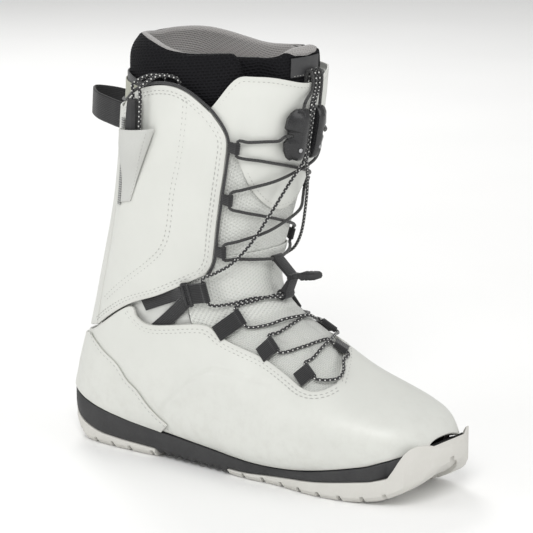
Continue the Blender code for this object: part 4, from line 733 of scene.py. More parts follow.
# ---- stitched seams ----------------------------------------------------------------------------------------------
front_rows = both_rows(CUFF_FRONT, 3.4, 5.6)
top_rows = both_rows(CUFF_TOP, -3.4, -5.6)
low_rows = both_rows(CUFF_LOW, 3.0, 5.0)
decor_rows = both_rows(DECOR_SEAM, -1.5, 1.5, off=-0.2)
stitches("cuff_stitching", front_rows + top_rows + low_rows, THREAD, "cuff")
stitches("cuff_seam_stitching", decor_rows, THREAD, "cuff", length=1.9, gap=2.0)
throat_rows = []
for kv, side in ((THROAT_L[3:], 1), (THROAT_M[3:], -1)):
    for d in (3.2, 5.6):
        throat_rows.append(seam_row(kv, -d * side, 0.0, 240))
counter_rows = both_rows(HEEL_SEAM, -2.2, off=1.8)
stitches("shell_stitching", throat_rows, THREAD, "lower_boot")
stitches("heel_stitching", counter_rows, THREAD, "lower_boot")

# ---- pockets --------------------------------------------------------------------------------------------------------
POCKET_CORNERS = [(3.15, 0.163), (3.10, 0.189), (1.70, 0.226), (1.80, 0.150)]


def bilinear(c, rows, cols):
    c = np.asarray(c, float)
    s = np.linspace(0, 1, cols)[None, :, None]
    t = np.linspace(0, 1, rows)[:, None, None]
    return (1 - t) * ((1 - s) * c[0] + s * c[1]) + t * ((1 - s) * c[3] + s * c[2])


def pouch(k, v):
    """Pocket bulge: open at the mouth, flat at the seams."""
    rows, cols = k.shape
    s = np.linspace(0, 1, cols)[None, :] * np.ones((rows, 1))
    t = np.linspace(0, 1, rows)[:, None] * np.ones((1, cols))
    return 1.35 + 9.4 * (1 - (2 * s - 1)**2)**0.6 * step01((t - 0.12) / 0.72)


pocket = bilinear(POCKET_CORNERS, 44, 40)
for name, kv in (("lateral", pocket), ("medial", medial(pocket))):
    finish_piece(panel("pocket_cloth_" + name, kv, pouch, 1.0, POCKET, dents=0.5, edge_round=0.3), "pocket_fabric", "pocket_" + name)
zip_kv = np.stack([np.stack([np.linspace(3.2, 1.62, 60), np.linspace(0.1570, 0.1430, 60) + d], -1)
                   for d in np.linspace(-0.0045, 0.0045, 8)], 1)
for name, kv in (("lateral", zip_kv), ("medial", medial(zip_kv))):
    finish_piece(panel("pocket_tape_" + name, kv, 1.5, 1.1, ZIP, dents=0, edge_round=0.3), "zip_tape", "pocket_zip_" + name)
pocket_rows = []
swell = pouch(pocket[..., 0], pocket[..., 1])
for col in (3, 36):
    for kv in (pocket[2:, col], medial(pocket[2:, col])):
        pocket_rows.append((skin(kv[:, 0], kv[:, 1], swell[2:, col]), outward(kv[:, 0], kv[:, 1])))
stitches("pocket_stitching", pocket_rows, THREAD, "cuff", length=1.8, gap=1.2, width=0.45, height=0.3)


# ---- tongue -------------------------------------------------------------------------------------------------------------
def medial_edge(k):
    """v of the medial edge of the throat."""
    return np.interp(k, [5, 7.87, 9.3, 10.3, 10.9, 11.35, 11.85, 12.16], [0.637, 0.625, 0.600, 0.575, 0.535, 0.495, 0.452, 0.425])


def tongue_off(k, v):
    rise = step01((v - 0.364) / 0.03) * step01((medial_edge(k) - 0.008 - v) / 0.03) * step01((11.95 - k) / 0.5)
    return -2.75 + 2.15 * rise


def tongue_grid(k0, k1, rows, v0, v1, cols, bend=None):
    k = np.linspace(k0, k1, rows)[:, None] * np.ones((1, cols))
    v = np.linspace(0, 1, cols)[None, :] * np.ones((rows, 1))
    low = v0(k) if callable(v0) else v0
    high = v1(k) if callable(v1) else v1
    v = low + (high - low) * v
    if bend:
        k = bend(k, v)
    return np.stack([k, v], -1)


def tongue_top(v):
    d = np.abs(v - 0.5)
    return 0.60 + 0.75 * step01((d - 0.13) / 0.07)**1.4 + 0.18 * step01((0.11 - d) / 0.11)


def u_edge(v):
    d = np.abs(v - 0.5)
    return 3.36 - 1.40 * np.clip(d / 0.141, 0, 1)**2.2


centre_seam = np.array([(k, 0.5) for k in np.linspace(3.3, 12.6, 200)])
arcs = [smooth([(2.35, 0.36), (2.75, 0.405), (3.35, 0.435), (4.35, 0.452)], 60),
        smooth([(2.10, 0.37), (2.55, 0.43), (3.2, 0.462)], 60),
        smooth([(7.5, 0.375), (8.3, 0.425), (9.6, 0.450), (11.2, 0.43)], 60),
        smooth([(8.3, 0.37), (9.3, 0.405), (10.6, 0.400)], 60)]
arcs += [medial(a) for a in arcs[:2]] + [smooth([(7.5, 0.61), (8.3, 0.56), (9.6, 0.535), (10.9, 0.50)], 60)]
base = tongue_grid(0.0, 1.0, 96, 0.303, 0.697, 84, lambda t, v: tongue_top(v) + 0.10 + (4.35 - tongue_top(v) - 0.10) * t)
finish_piece(panel("tongue_mesh_upper", base, lambda k, v: tongue_off(k, v) - 1.75, 1.0, RIB_MESH, lines=[centre_seam] + arcs,
                   line_depth=0.7, line_width=1.1, edge_round=0.3), "grey_mesh", "tongue_base")
white = tongue_grid(0.0, 1.0, 60, 0.303, 0.697, 84, lambda t, v: tongue_top(v) + (u_edge(v) - tongue_top(v)) * t)
finish_piece(panel("tongue_leather", white, tongue_off, 1.1, WHITE, edge_round=0.4, dents=0.4), "white_leather", "tongue_panel")
flex = tongue_grid(4.28, 7.50, 76, 0.318, 0.682, 78)
tongue_flex = panel("tongue_mesh_flex", flex, tongue_off, 1.1, RIB_MESH, lines=[centre_seam], line_depth=0.7, line_width=1.1,
                    edge_round=0.3)
lower = tongue_grid(7.42, 12.75, 96, lambda k: 0.322 + 0.035 * step01((k - 11.2) / 1.5),
                    lambda k: 0.672 - 0.10 * step01((k - 8.5) / 4.0), 74)
finish_piece(panel("tongue_mesh_lower", lower, lambda k, v: tongue_off(k, v) - 0.15, 1.1, GREY_MESH, lines=[centre_seam] + arcs,
                   line_depth=0.8, line_width=1.2, edge_round=0.3), "grey_mesh", "tongue_lower")


def bends(obj, nodes, start, end):
    """A piece that crosses a joint, in place of its CAD nodes: its transform goes into its mesh and it is put on no
    body, so it does not bend. start and end are points (x, f, z), and are not used.
    """
    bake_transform(obj)
    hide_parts(*nodes)


bends(tongue_flex, ["tongue_flex"], skin(7.1, 0.5), skin(4.7, 0.5))
top_v = np.linspace(0.318, 0.682, 160)
edge_top = np.stack([tongue_top(top_v), top_v], 1)
edge_low = np.stack([u_edge(top_v), top_v], 1)
tongue_rows = [seam_row(edge_top, -3.2, tongue_off(*smooth(edge_top, 160).T)), seam_row(edge_low, 3.0, tongue_off(*smooth(edge_low, 160).T))]
stitches("tongue_stitching", tongue_rows, THREAD, "cuff", length=2.0, gap=1.3, width=0.45, height=0.3)

# ---- ankle gussets ------------------------------------------------------------------------------------------------------
gusset = coons(smooth([(6.35, 0.200), (6.85, 0.27), (7.25, 0.3145)], 46), smooth([(5.05, 0.215), (4.75, 0.27), (4.45, 0.3145)], 46),
               smooth([(6.35, 0.200), (5.6, 0.195), (5.05, 0.215)], 36), smooth([(7.25, 0.3145), (5.8, 0.3145), (4.45, 0.3145)], 36))
for name, kv, m in (("lateral", gusset, 0), ("medial", medial(gusset), 1)):
    piece = panel("gusset_cloth_" + name, kv, lambda k, v: -5.2 + 0.5 * np.sin(k * 9.0), 1.2, GUSSET, edge_round=0.3)
    v = 0.26 if m == 0 else 0.74
    bends(piece, ["gusset_" + name], skin(6.5, v), skin(5.0, v))


# ---- liner ------------------------------------------------------------------------------------------------------------------
RIM_V = [0, 0.08, 0.16, 0.25, 0.33, 0.385]
RIM_K = [0.14, 0.09, 0.15, 0.31, 0.23, 0.16]


def liner_off(k, v):
    return -5.6 - 1.8 * step01((8.0 - k) / 1.5) - 1.1 * step01((4.0 - k) / 1.2) + 0 * v


BORDER_ROW, CREST_ROW = 60, 104    # rows of a pad where its lining starts, and where the rolled top ends


def run_down(pts):
    """Distance along each column of points."""
    return np.concatenate([np.zeros((1, pts.shape[1])), np.cumsum(np.linalg.norm(np.diff(pts, axis=0), axis=2), 0)], 0)


def pad(name, vs, rim, k_low, off, thick, grey, bulge, rows=70):
    """A padded collar: outer face, rolled top and inner face in one closed skin. grey gives how many millimetres down
    the outer face the lining is rolled over."""
    crest = 15
    profile = []
    ends = np.sqrt(np.clip(1 - (1 - np.clip(np.minimum(np.arange(len(vs)), np.arange(len(vs))[::-1]) / 3.0, 0, 1))**2, 0.03, 1))
    mm_k = 38.0
    for i in range(rows):
        t = 1 - i / (rows - 1)
        k = rim + thick / 2 / mm_k + (k_low - rim) * t**1.15
        o = off(k, vs) + bulge(t, vs)
        profile.append((k, o, o - off(k, vs)))
    lifts = profile[-1][1] - off(profile[-1][0], vs)
    for i in range(1, crest):
        a = np.pi * i / crest
        k = rim + thick / 2 / mm_k * (1 - np.sin(a))
        o = off(rim + thick / 2 / mm_k, vs) + lifts - thick / 2 + thick / 2 * np.cos(a)
        profile.append((k, o, o * 0))
    for i in range(rows):
        t = i / (rows - 1)
        k = rim + thick / 2 / mm_k + (k_low - rim) * t**1.15
        o = off(k, vs) - thick - 0.7 * np.sin(np.pi * np.clip(t * 6, 0, 1))
        profile.append((k, o, o * 0))
    pts, uv, shade = [], [], []
    for k, o, _ in profile:
        middle = off(k, vs) - thick / 2
        pts.append(skin(k, vs, middle + (o - middle) * ends))
    pts = np.array(pts)
    down = run_down(pts)
    top_at = down[rows + crest // 2 - 1]
    n = len(pts)
    border = top_at - grey(vs)
    share = np.linspace(0, 1, n)
    for j in range(len(vs)):
        place = np.interp(share, [0, BORDER_ROW / (n - 1), CREST_ROW / (n - 1), 1], [0, border[j], top_at[j] + 11, down[-1, j]])
        pts[:, j] = np.stack([np.interp(place, down[:, j], pts[:, j, c]) for c in range(3)], 1)
    down = run_down(pts)
    sunk = 0.7 * np.exp(-((down - down[BORDER_ROW]) / 1.3)**2)
    pts -= outward(np.interp(np.arange(n), [0, n - 1], [4.0, 4.0])[:, None] * np.ones((1, len(vs))), vs) * sunk[..., None]
    across = np.concatenate([[0], np.cumsum(np.linalg.norm(np.diff(pts[rows // 2], axis=0), axis=1))])
    uv = np.stack([across[None] * np.ones((len(pts), 1)), down], -1)
    cols = len(vs)
    faces = [tuple(f) for f in grid_faces(n, cols)]
    is_grey = [bool(f[0] // cols >= BORDER_ROW) for f in faces]
    faces += [((n - 1) * cols + j, (n - 1) * cols + j + 1, j + 1, j) for j in range(cols - 1)]
    faces += [tuple(i * cols for i in range(n)), tuple(i * cols + cols - 1 for i in range(n - 1, -1, -1))]
    is_grey += [False] * (len(faces) - len(is_grey))
    obj = make(name, world(pts).reshape(-1, 3), faces, [LINER, LINING], uv.reshape(-1, 2))
    obj.data.polygons.foreach_set("material_index", np.array(is_grey, np.int32))
    outward_faces(obj)
    return obj


def collar_off(k, v):
    d = np.minimum(v % 1, 1 - v % 1)
    roll = np.clip((k - np.interp(d, RIM_V, RIM_K)) / 0.16, 0, 1)
    lean = step01((0.62 - k) / 0.55) * step01((0.30 - d) / 0.14)
    return liner_off(k, v) - 1.5 * (1 - np.sqrt(1 - (1 - roll)**2)) * (1 - step01((d - 0.29) / 0.06)) - 5.5 * lean**1.4


vs = np.linspace(-0.382, 0.382, 260)
rim = hermite(np.stack([RIM_V, RIM_K], 1), np.interp(np.abs(vs), RIM_V, range(6)))[:, 1] + np.where(vs < 0, 0.10, 0) * step01(np.abs(vs) / 0.2)
rim = rim + 0.80 * step01((np.abs(vs) - 0.335) / 0.05)**1.3 + 0.10 * step01((0.16 - np.abs(vs)) / 0.10)


def rolled(v):
    """The lining shows over the rim behind and beside the leg."""
    d = abs(v)
    return np.interp(d, [0, 0.05, 0.10, 0.16, 0.22, 0.26, 0.30, 0.33, 0.382], [-1.0, -0.5, 1.5, 3.0, 2.5, 0.5, -1.0, -1.5, -1.5])


collar = pad("liner_collar", vs, rim, 4.2, collar_off, 6.5, rolled,
             lambda t, v: (1.6 + 1.8 * step01((0.16 - np.abs(v)) / 0.12)) * np.sin(np.pi * np.clip(t / 0.30, 0, 1))**0.8
              * (1 - 0.4 * step01((np.abs(v) - 0.30) / 0.05)))
finish_piece(collar, "liner_mesh", "liner_cuff")


def tongue_pad_off(k, v):
    return -6.6 - 9.3 * step01((np.abs(v - 0.5) - 0.066) / 0.044)


tongue_v = np.linspace(0.334, 0.666, 120)
tongue_rim = 0.06 + 0.26 * step01((np.abs(tongue_v - 0.505) - 0.02) / 0.08)
liner_tongue = pad("liner_tongue_pad", tongue_v, tongue_rim, 4.15, tongue_pad_off, 5.5,
                   lambda v: np.interp(abs(v - 0.505), [0, 0.035, 0.06, 0.10], [8.0, 6.5, 0.5, -1.5]),
                   lambda t, v: 1.1 * np.sin(np.pi * np.clip(t / 0.35, 0, 1))**0.8)
finish_piece(liner_tongue, "liner_mesh", "liner_tongue")

label_v = np.linspace(0.455, 0.545, 40)
label_kv = np.stack([np.stack([np.full(40, k), label_v], -1) for k in np.linspace(0.68, 0.30, 24)], 0)
finish_piece(panel("liner_patch", label_kv, -4.6, 0.9, PATCH, dents=0, edge_round=0.35), "label_patch", "liner_label")
patch_v = np.linspace(0.460, 0.540, 40)
patch_edge = np.stack([np.full(40, 0.65), patch_v], 1)
stitches("patch_stitching", [seam_row(patch_edge, 0.0, -4.55, 60)], THREAD, "cuff", length=1.6, gap=1.1, width=0.4, height=0.25)


def floor_z(f):
    x = [0, 20, 40, 60, 80, 100, 120, 140, 160, 180, 200, 220, 240, 260, 280, 300]
    y = [23.0, 22.44, 21.61, 20.5, 18.6, 16.43, 14.69, 13.27, 12.2, 11.32, 11.2, 12.22, 14.0, 16.67, 20.18, 25.0]
    return np.interp(f, x, y)


def on_floor(pts, k, v):
    """The liner's sole lies flat on the lasting board."""
    pts = pts.copy()
    ground = floor_z(pts[..., 1]) + 3.1
    rise = pts[..., 2] - ground
    pts[..., 2] = ground + np.where(rise < 7, np.maximum(0, (rise - 3.5) * 2), rise)
    return pts


def ring_grid(ks, n):
    ring = np.arange(n) / n
    return np.stack([np.stack([np.full(n, k), ring], -1) for k in ks], 0)


ankle = panel("liner_ankle_pad", ring_grid(np.linspace(4.27, 6.5, 46), 150), lambda k, v: liner_off(k, v), 5.5, LINING, wrap=True,
              edge_round=0.8)
bends(ankle, ["liner_ankle"], [0, 100, 100], [0, 100, 165])
foot = panel("liner_foot_pad", ring_grid(np.concatenate([np.linspace(6.57, 14, 90), np.linspace(14.1, 15.35, 20)]), 150), liner_off, 4.0,
             LINING, wrap=True, shape=on_floor, edge_round=0.8)
finish_piece(foot, "liner_mesh", "liner_foot")

# ---- sole unit and insole: the CAD solids with rounded edges ---------------------------------------------------------------
refined("outsole_heel", OUTSOLE, 0.5, segments=2)
refined("outsole_forefoot", OUTSOLE, 0.5, segments=2)
refined("midsole", EVA, 0.5, segments=2)
refined("lasting_board", BOARD, 0.3)
bed = refined("footbed", FOOTBED, 0.8, slot="footbed_foam")
bed_xyz = np.zeros(len(bed.data.vertices) * 3)
bed.data.vertices.foreach_get("co", bed_xyz)
place_uv(bed, bed_xyz.reshape(-1, 3)[:, :2] * 1000)


# ---- webbing loops, straps, buckles ------------------------------------------------------------------------------------------
def eyelet(name, root, tip, normal, width, mat, root_drop, ro=2.05, ri=1.38, plate=0.75):
    """Webbing folded round a lace: a flat tail at root and a round hole at tip."""
    root, tip, normal = np.asarray(root, float), np.asarray(tip, float), unit(normal)
    along = unit((tip - root) - normal * np.dot(tip - root, normal))
    axis = np.cross(along, normal)
    length = np.dot(tip - root, along)
    turn = np.radians(np.linspace(-146, 146, 41))
    out = [(np.cos(t) * ro, np.sin(t) * ro) for t in turn]
    knee = np.array(out[-1])
    tail_top, tail_low = np.array([-length, -root_drop + plate]), np.array([-length, -root_drop - plate])
    steps = np.linspace(0, 1, 9)[1:]
    out += [tuple(knee + (tail_top - knee) * t) for t in steps]
    first = np.array(out[0])
    out += [tuple(tail_low + (first - tail_low) * t) for t in np.linspace(0, 1, 9)[:-1]]
    n = len(out)
    hole_turn = np.concatenate([turn, np.radians(np.linspace(150, 210, n - len(turn)))])
    hole = [(np.cos(t) * ri, np.sin(t) * ri) for t in hole_turn]
    verts, uv = [], []
    run = np.concatenate([[0], np.cumsum(np.linalg.norm(np.diff(np.array(out), axis=0), axis=1))])
    for w in (-0.5, 0.5):
        for ring, lift in ((out, 0), (hole, 40)):
            for i, (a, b) in enumerate(ring):
                verts.append(tip + along * a + normal * b + axis * w * width)
                uv.append((w * width, run[i] + lift))
    faces = []
    for i in range(n):
        j = (i + 1) % n
        faces += [(i, j, n + j, n + i), (2 * n + i, 3 * n + i, 3 * n + j, 2 * n + j),
                  (i, 2 * n + i, 2 * n + j, j), (n + i, n + j, 3 * n + j, 3 * n + i)]
    obj = make(name, world(np.array(verts)), faces, mat, uv)
    outward_faces(obj)
    b = obj.modifiers.new("edges", "BEVEL")
    b.width, b.segments, b.limit_method, b.angle_limit = 0.22 * MM, 2, "ANGLE", math.radians(50)
    applied(obj)
    obj.data.shade_smooth()
    obj.data.set_sharp_from_angle(angle=math.radians(50))
    return obj, axis if axis[2] > 0 else -axis


HOLES = {}


def lace_loop(node, root_kv, tip_kv, width, rise, root_rise):
    root, tip = skin(*root_kv, root_rise), skin(*tip_kv, rise)
    n = outward(*tip_kv)
    obj, axis = eyelet(node + "_web", root, tip, n, width, WEBBING, np.dot(tip - root, n))
    finish_piece(obj, "black_webbing", node)
    HOLES[node] = (tip, axis, width)


for number, root_k, root_v, tip_v in ((1, 1.93, 0.3600, 0.3665), (2, 2.98, 0.3690, 0.3755), (3, 4.08, 0.3735, 0.3800)):
    for side, m in (("lateral", 1), ("medial", -1)):
        root_at, tip_at = (root_v, tip_v) if m > 0 else (1 - root_v, 1 - tip_v)
        tuck = -0.0065 * m
        lace_loop(f"cuff_loop_{number}_{side}", (root_k, root_at + tuck), (root_k + 0.02, tip_at), 7.5, 2.3, 0.25)
for node, root_kv, tip_kv, width, rise, root_rise in (
        ("vamp_loop_1_lateral", (7.52, 0.3570), (7.19, 0.3915), 11.5, 2.2, 0.3),
        ("vamp_loop_2_lateral", (9.70, 0.3665), (9.61, 0.3915), 11.5, 2.2, 0.3),
        ("vamp_loop_3_lateral", (11.36, 0.3745), (11.38, 0.3975), 11.0, 2.2, 0.3),
        ("vamp_loop_1_medial", (7.50, 0.6210), (7.24, 0.5975), 11.5, 2.3, 0.5),
        ("vamp_loop_2_medial", (9.55, 0.588), (9.85, 0.556), 11.5, 2.4, 0.7),
        ("vamp_loop_3_medial", (10.95, 0.519), (11.12, 0.492), 10.0, 2.4, 0.9)):
    root_kv, tip_kv = np.array(root_kv), np.array(tip_kv)
    lace_loop(node, root_kv + (root_kv - tip_kv) * 0.28, tip_kv, width, rise, root_rise)


def strap(name, centre, across, width, thick, mat):
    """Flat webbing along a centre line, with rounded long edges."""
    centre, across = np.asarray(centre, float), np.asarray(across, float)
    tangent = np.gradient(centre, axis=0)
    verts, uv, length = [], [], 0.0
    shape = [(-1, 0)] + [(-0.93, 1)] + [(x, 1) for x in np.linspace(-0.8, 0.8, 9)] + [(0.93, 1), (1, 0), (0.93, -1)]
    shape += [(x, -1) for x in np.linspace(0.8, -0.8, 9)] + [(-0.93, -1)]
    for i, (c, a, t) in enumerate(zip(centre, across, tangent)):
        t = unit(t)
        a = unit(a - t * np.dot(a, t))
        n = np.cross(t, a)
        length += np.linalg.norm(c - centre[i - 1]) if i else 0
        for x, y in shape:
            verts.append(c + a * x * width / 2 + n * y * thick / 2)
            uv.append((x * width / 2, length))
    cols = len(shape)
    faces = [tuple(f) for f in grid_faces(len(centre), cols, True)]
    faces += [tuple(range(cols - 1, -1, -1)), tuple((len(centre) - 1) * cols + j for j in range(cols))]
    return outward_faces(make(name, world(np.array(verts)), faces, mat, uv))


WEB = 1.5
for side, m in (("lateral", 1), ("medial", -1)):
    def at(k, v, off, m=m):
        return skin(k, v if m > 0 else 1 - v, off)

    for part, rows in (("upper", [(5.66, 0.238, -3.9), (5.57, 0.268, -4.0), (5.47, 0.296, -2.6), (5.40, 0.317, 0.9)]),
                       ("lower", [(6.70, 0.250, -3.9), (6.42, 0.274, -3.7), (6.04, 0.300, -2.4), (5.66, 0.322, 0.2)])):
        run = smooth(rows, 40, even=False)
        c = np.array([at(*q) for q in run])
        n = np.array([outward(q[0], q[1] if m > 0 else 1 - q[1]) for q in run])
        piece = strap(f"ankle_web_{part}_{side}", c, np.cross(np.gradient(c, axis=0), n), 9.6, WEB, WEBBING)
        if part == "upper":
            finish_piece(piece, "black_webbing", "ankle_strap_upper_" + side)
        else:
            bends(piece, ["ankle_strap_lower_" + side], c[4], c[-4])
    root, tip, n = at(5.44, 0.3205, 1.6), at(5.46, 0.3535, 2.3), outward(5.45, 0.343 if m > 0 else 0.657)
    obj, axis = eyelet("ankle_buckle_" + side, root, tip, n, 14.0, WEBBING, np.dot(tip - root, n), ro=2.3, ri=1.4, plate=1.3)
    finish_piece(obj, "black_plastic", "ladder_buckle_" + side)
    HOLES["buckle_" + side] = (tip, axis, 14.0)
    along = unit(tip - root)
    for bar, centre, length in (("rear", root - along * 0.3, 8.2), ("middle", root + along * 3.6, 8.2)):
        post = [centre + n * 1.0 - axis * length * t + along * 0.0 for t in np.linspace(-1, 1, 12)]
        finish_piece(cord(f"buckle_bar_{bar}_{side}", np.array(post), 2.3, PLASTIC, 10), "black_plastic", "ladder_buckle_" + side)
    for end in (-1, 1):
        rail = [root + n * 1.0 + axis * end * 8.0 + along * t for t in np.linspace(-0.3, 3.6, 8)]
        finish_piece(cord(f"buckle_rail_{'low' if end < 0 else 'top'}_{side}", np.array(rail), 2.3, PLASTIC, 10), "black_plastic",
                     "ladder_buckle_" + side)

pull_root = skin(1.80, 0.048, 1.2)
loop_pts = np.array([skin(1.84, 0.066, 1.35), skin(1.82, 0.056, 1.4), pull_root + [1.5, -3.5, 0.5], pull_root + [3.0, -14, 2.0],
                     pull_root + [6.5, -32, 5.0], [0.0, pull_root[1] - 43.5, pull_root[2] + 7.0]])
loop_c = np.concatenate([loop_pts, loop_pts[:-1][::-1] * [-1, 1, 1]])
loop_c = spaced(hermite(loop_c, np.linspace(0, len(loop_c) - 1, 400)), 1.8)
finish_piece(strap("pull_loop_web", loop_c, np.tile([0, 0.07, 1.0], (len(loop_c), 1)), 19, 1.6, WEBBING), "black_webbing", "pull_loop")

# ---- front pull tab, handles, lock: rounded CAD solids -------------------------------------------------------------------------
tab = refined("front_tab_webbing", WEBBING, 0.25, ready=False)
tab_xyz = np.zeros(len(tab.data.vertices) * 3)
tab.data.vertices.foreach_get("co", tab_xyz)
tab_xyz = tab_xyz.reshape(-1, 3) * 1000
place_uv(tab, np.stack([tab_xyz[:, 0], tab_xyz[:, 1] + tab_xyz[:, 2]], 1))
tab_top = tab_xyz[tab_xyz[:, 2].argmax()] * MM
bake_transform(tab)
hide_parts("front_tab_webbing")
refined("front_tab_grip", SOFT_RUBBER, 0.5, segments=3)
refined("lace_handle_lateral", SOFT_RUBBER, 0.6, segments=3)
refined("lace_handle_medial", SOFT_RUBBER, 0.6, segments=3)
for node in ("lock_base", "lock_cover_left", "lock_cover_right"):
    refined(node, PLASTIC, 0.6, segments=3)
for node in ("lock_screw_left", "lock_screw_right"):
    refined(node, STEEL, 0.15, slot="steel")


# ---- laces and handle cords --------------------------------------------------------------------------------------------------------
def lace_line(parts, step=2.0):
    """The centre line of a cord through the given points. A tuple is a run of straight parts."""
    pts, straight = [], set()
    for part in parts:
        for q, p in enumerate(part):
            if pts and np.linalg.norm(np.asarray(p) - pts[-1]) < 0.9:
                continue
            pts.append(np.asarray(p, float))
            if isinstance(part, tuple) and q:
                straight.add(len(pts) - 2)
    pts = np.array(pts)
    line = [pts[0]]
    for i in range(len(pts) - 1):
        n = max(1, int(round(np.linalg.norm(pts[i + 1] - pts[i]) / step)))
        for q in range(1, n + 1):
            line.append(pts[i] + (pts[i + 1] - pts[i]) * q / n if i in straight else hermite(pts, np.array([i + q / n]))[0])
    return np.array(line)


def cut_line(line, *at):
    """The line in pieces, parted at the points nearest to the given ones, each looked for after the one before."""
    index, found = 0, []
    for p in at:
        d = np.linalg.norm(line[index:] - np.asarray(p, float), axis=1)
        near = np.nonzero(d < d.min() + 0.5)[0][0]
        index += int(near)
        found.append(index)
    ends = [0] + found + [len(line) - 1]
    return [line[a:b + 1] for a, b in zip(ends, ends[1:])]


for side, m, mat, slot in (("lateral", 1, BRAID_FLECK, "speckled_lace"), ("medial", -1, BRAID_DARK, "dark_lace")):
    def place(k, v, off, m=m):
        return skin(k, v if m > 0 else 1 - v, off)

    low, high = place(2.04, 0.1870, 4.5), place(1.17, 0.1835, 4.5)
    d = unit(high - low)
    n = outward(1.6, 0.185 if m > 0 else 0.815)
    n = unit(n - d * np.dot(n, d))
    w = np.cross(n, d)
    fore = w if w[1] > 0 else -w
    leg = [place(k, 0.226, -6.8) for k in (2.1, 1.73, 1.36, 0.98)]
    leg2 = [place(k, 0.252, -6.8) for k in (0.98, 1.36, 1.73, 2.1)]
    top1 = [leg[-1] + d * 8.5 + n * 0.8, (leg[-1] + high) / 2 + d * 13, high + d * 10.0]
    top2 = [high + d * 9.5 + fore * 8.6, (leg2[0] + high + fore * 8) / 2 + d * 14, leg2[0] + d * 8.5 + n * 0.8]
    line = lace_line([leg, top1, (high + d * 2.5, low - d * 2.0), [low - d * 4.2 + fore * 4.2],
                      (low + d * 1.0 + fore * 8.4, high + d * 2.0 + fore * 8.4), top2, leg2])
    first, loop, last_leg = cut_line(line, leg[-1], leg2[0])
    finish_piece(cord("handle_cord_loop_" + side, loop, CORD_D, mat), slot, "handle_cord_" + side)
    for part, run in (("front", first), ("rear", last_leg)):
        deep, out = (run[0], run[-1]) if part == "front" else (run[-1], run[0])
        piece = cord(f"handle_cord_{part}_{side}", run, CORD_D, mat)
        bends(piece, ["handle_cord_" + side], deep, out)

J = np.array([0.0, 184.5, 136.0])
up_c, low_c = np.array([0.0, 171.2, 147.3]), np.array([0.0, 178.6, 123.0])
X = np.array([1.0, 0, 0])
lock_up = unit((0, 6.0, 36.0))
lock_out = np.array([0, lock_up[2], -lock_up[1]])
lock_c = np.array([-4.0, 196.6, 237.0])


def lock_pt(x, n, z, lean=0.0):
    c, s = math.cos(lean), math.sin(lean)
    return lock_c + X * (x * c + n * s) + lock_out * (n * c - x * s) + lock_up * z


NOTCH = {name: (lock_pt(m * 9.9, 4.8, 0, lean), lock_pt(m * 20.5, 4.8, 0, lean), lock_pt(m * 7.36, 4.8, 21, lean))
         for name, m, lean in (("left", -1, -0.20), ("right", 1, 0.13))}


def through(hole, downward=True, gap=1.4):
    c, axis, w = HOLES[hole]
    a, b = c + axis * (w / 2 + gap), c - axis * (w / 2 + gap)
    return (a, b) if downward else (b, a)


def bridge(a_kv, b_kv, offs, ends=(0.14, 0.86)):
    a, b = np.array(a_kv, float), np.array(b_kv, float)
    return [skin(*(a + (b - a) * t), o) for t, o in zip(np.linspace(ends[0], ends[1], len(offs)), offs)]


def hidden(x):
    """Over the top edge of the tongue and down behind it."""
    v = 0.5 + x * 0.00215
    return [skin(k, v, o) for k, o in ((2.0, -4.85), (1.35, -4.85), (0.98, -4.9), (0.66, -4.2), (0.56, -1.6), (0.66, 0.9), (0.90, 1.25))]


a_l, out_l, top_lp = NOTCH["left"]
a_r, out_r, top_rp = NOTCH["right"]
CROSS = 3.55
upper_parts = [hidden(-0.6), (top_lp, a_l, out_l),
               bridge((1.82, 0.455), (1.83, 0.376), [2.6, 1.9, 1.6], (0.3, 0.92)),
               through("cuff_loop_1_lateral"),
               bridge((2.15, 0.385), (2.85, 0.625), [1.3, 1.05, 1.05, 1.05, 1.3], (0.10, 0.92)),
               through("cuff_loop_2_medial"),
               bridge((3.20, 0.620), (3.92, 0.385), [1.5, CROSS, CROSS, CROSS, 1.5], (0.08, 0.92)),
               through("cuff_loop_3_lateral"),
               [skin(4.36, 0.405, 1.6), skin(4.45, 0.44, 2.2), up_c - X * 6.5, up_c - X * 2, up_c + X * 2, up_c + X * 6.5,
                skin(4.45, 0.56, 2.2), skin(4.36, 0.595, 1.6)],
               through("cuff_loop_3_medial", False),
               bridge((3.92, 0.615), (3.20, 0.380), [1.2, 1.05, 1.05, 1.05, 1.2], (0.08, 0.92)),
               through("cuff_loop_2_lateral", False),
               bridge((2.85, 0.375), (2.15, 0.615), [1.5, CROSS, CROSS, CROSS, 1.5], (0.08, 0.90)),
               through("cuff_loop_1_medial", False),
               bridge((1.83, 0.624), (1.82, 0.545), [1.6, 1.9, 2.6], (0.08, 0.70)),
               (out_r, a_r, top_rp), hidden(13.4)[::-1]]
upper = lace_line(upper_parts)
loop1, loop1m = HOLES["cuff_loop_1_lateral"][0], HOLES["cuff_loop_1_medial"][0]
loop3, loop3m = HOLES["cuff_loop_3_lateral"][0], HOLES["cuff_loop_3_medial"][0]
runs = cut_line(upper, top_lp, out_l, loop1, loop3, up_c, loop3m, loop1m, out_r, top_rp)
edge_mid = skin(0.56, 0.5, 0)


def lace_piece(name, run, mat, slot, node, body=None, between=None):
    piece = cord(name, run, LACE_D, mat)
    if body:
        finish_piece(piece, slot, node, body=body)
    else:
        a, b, start, finish = between
        bends(piece, [node], start, finish)


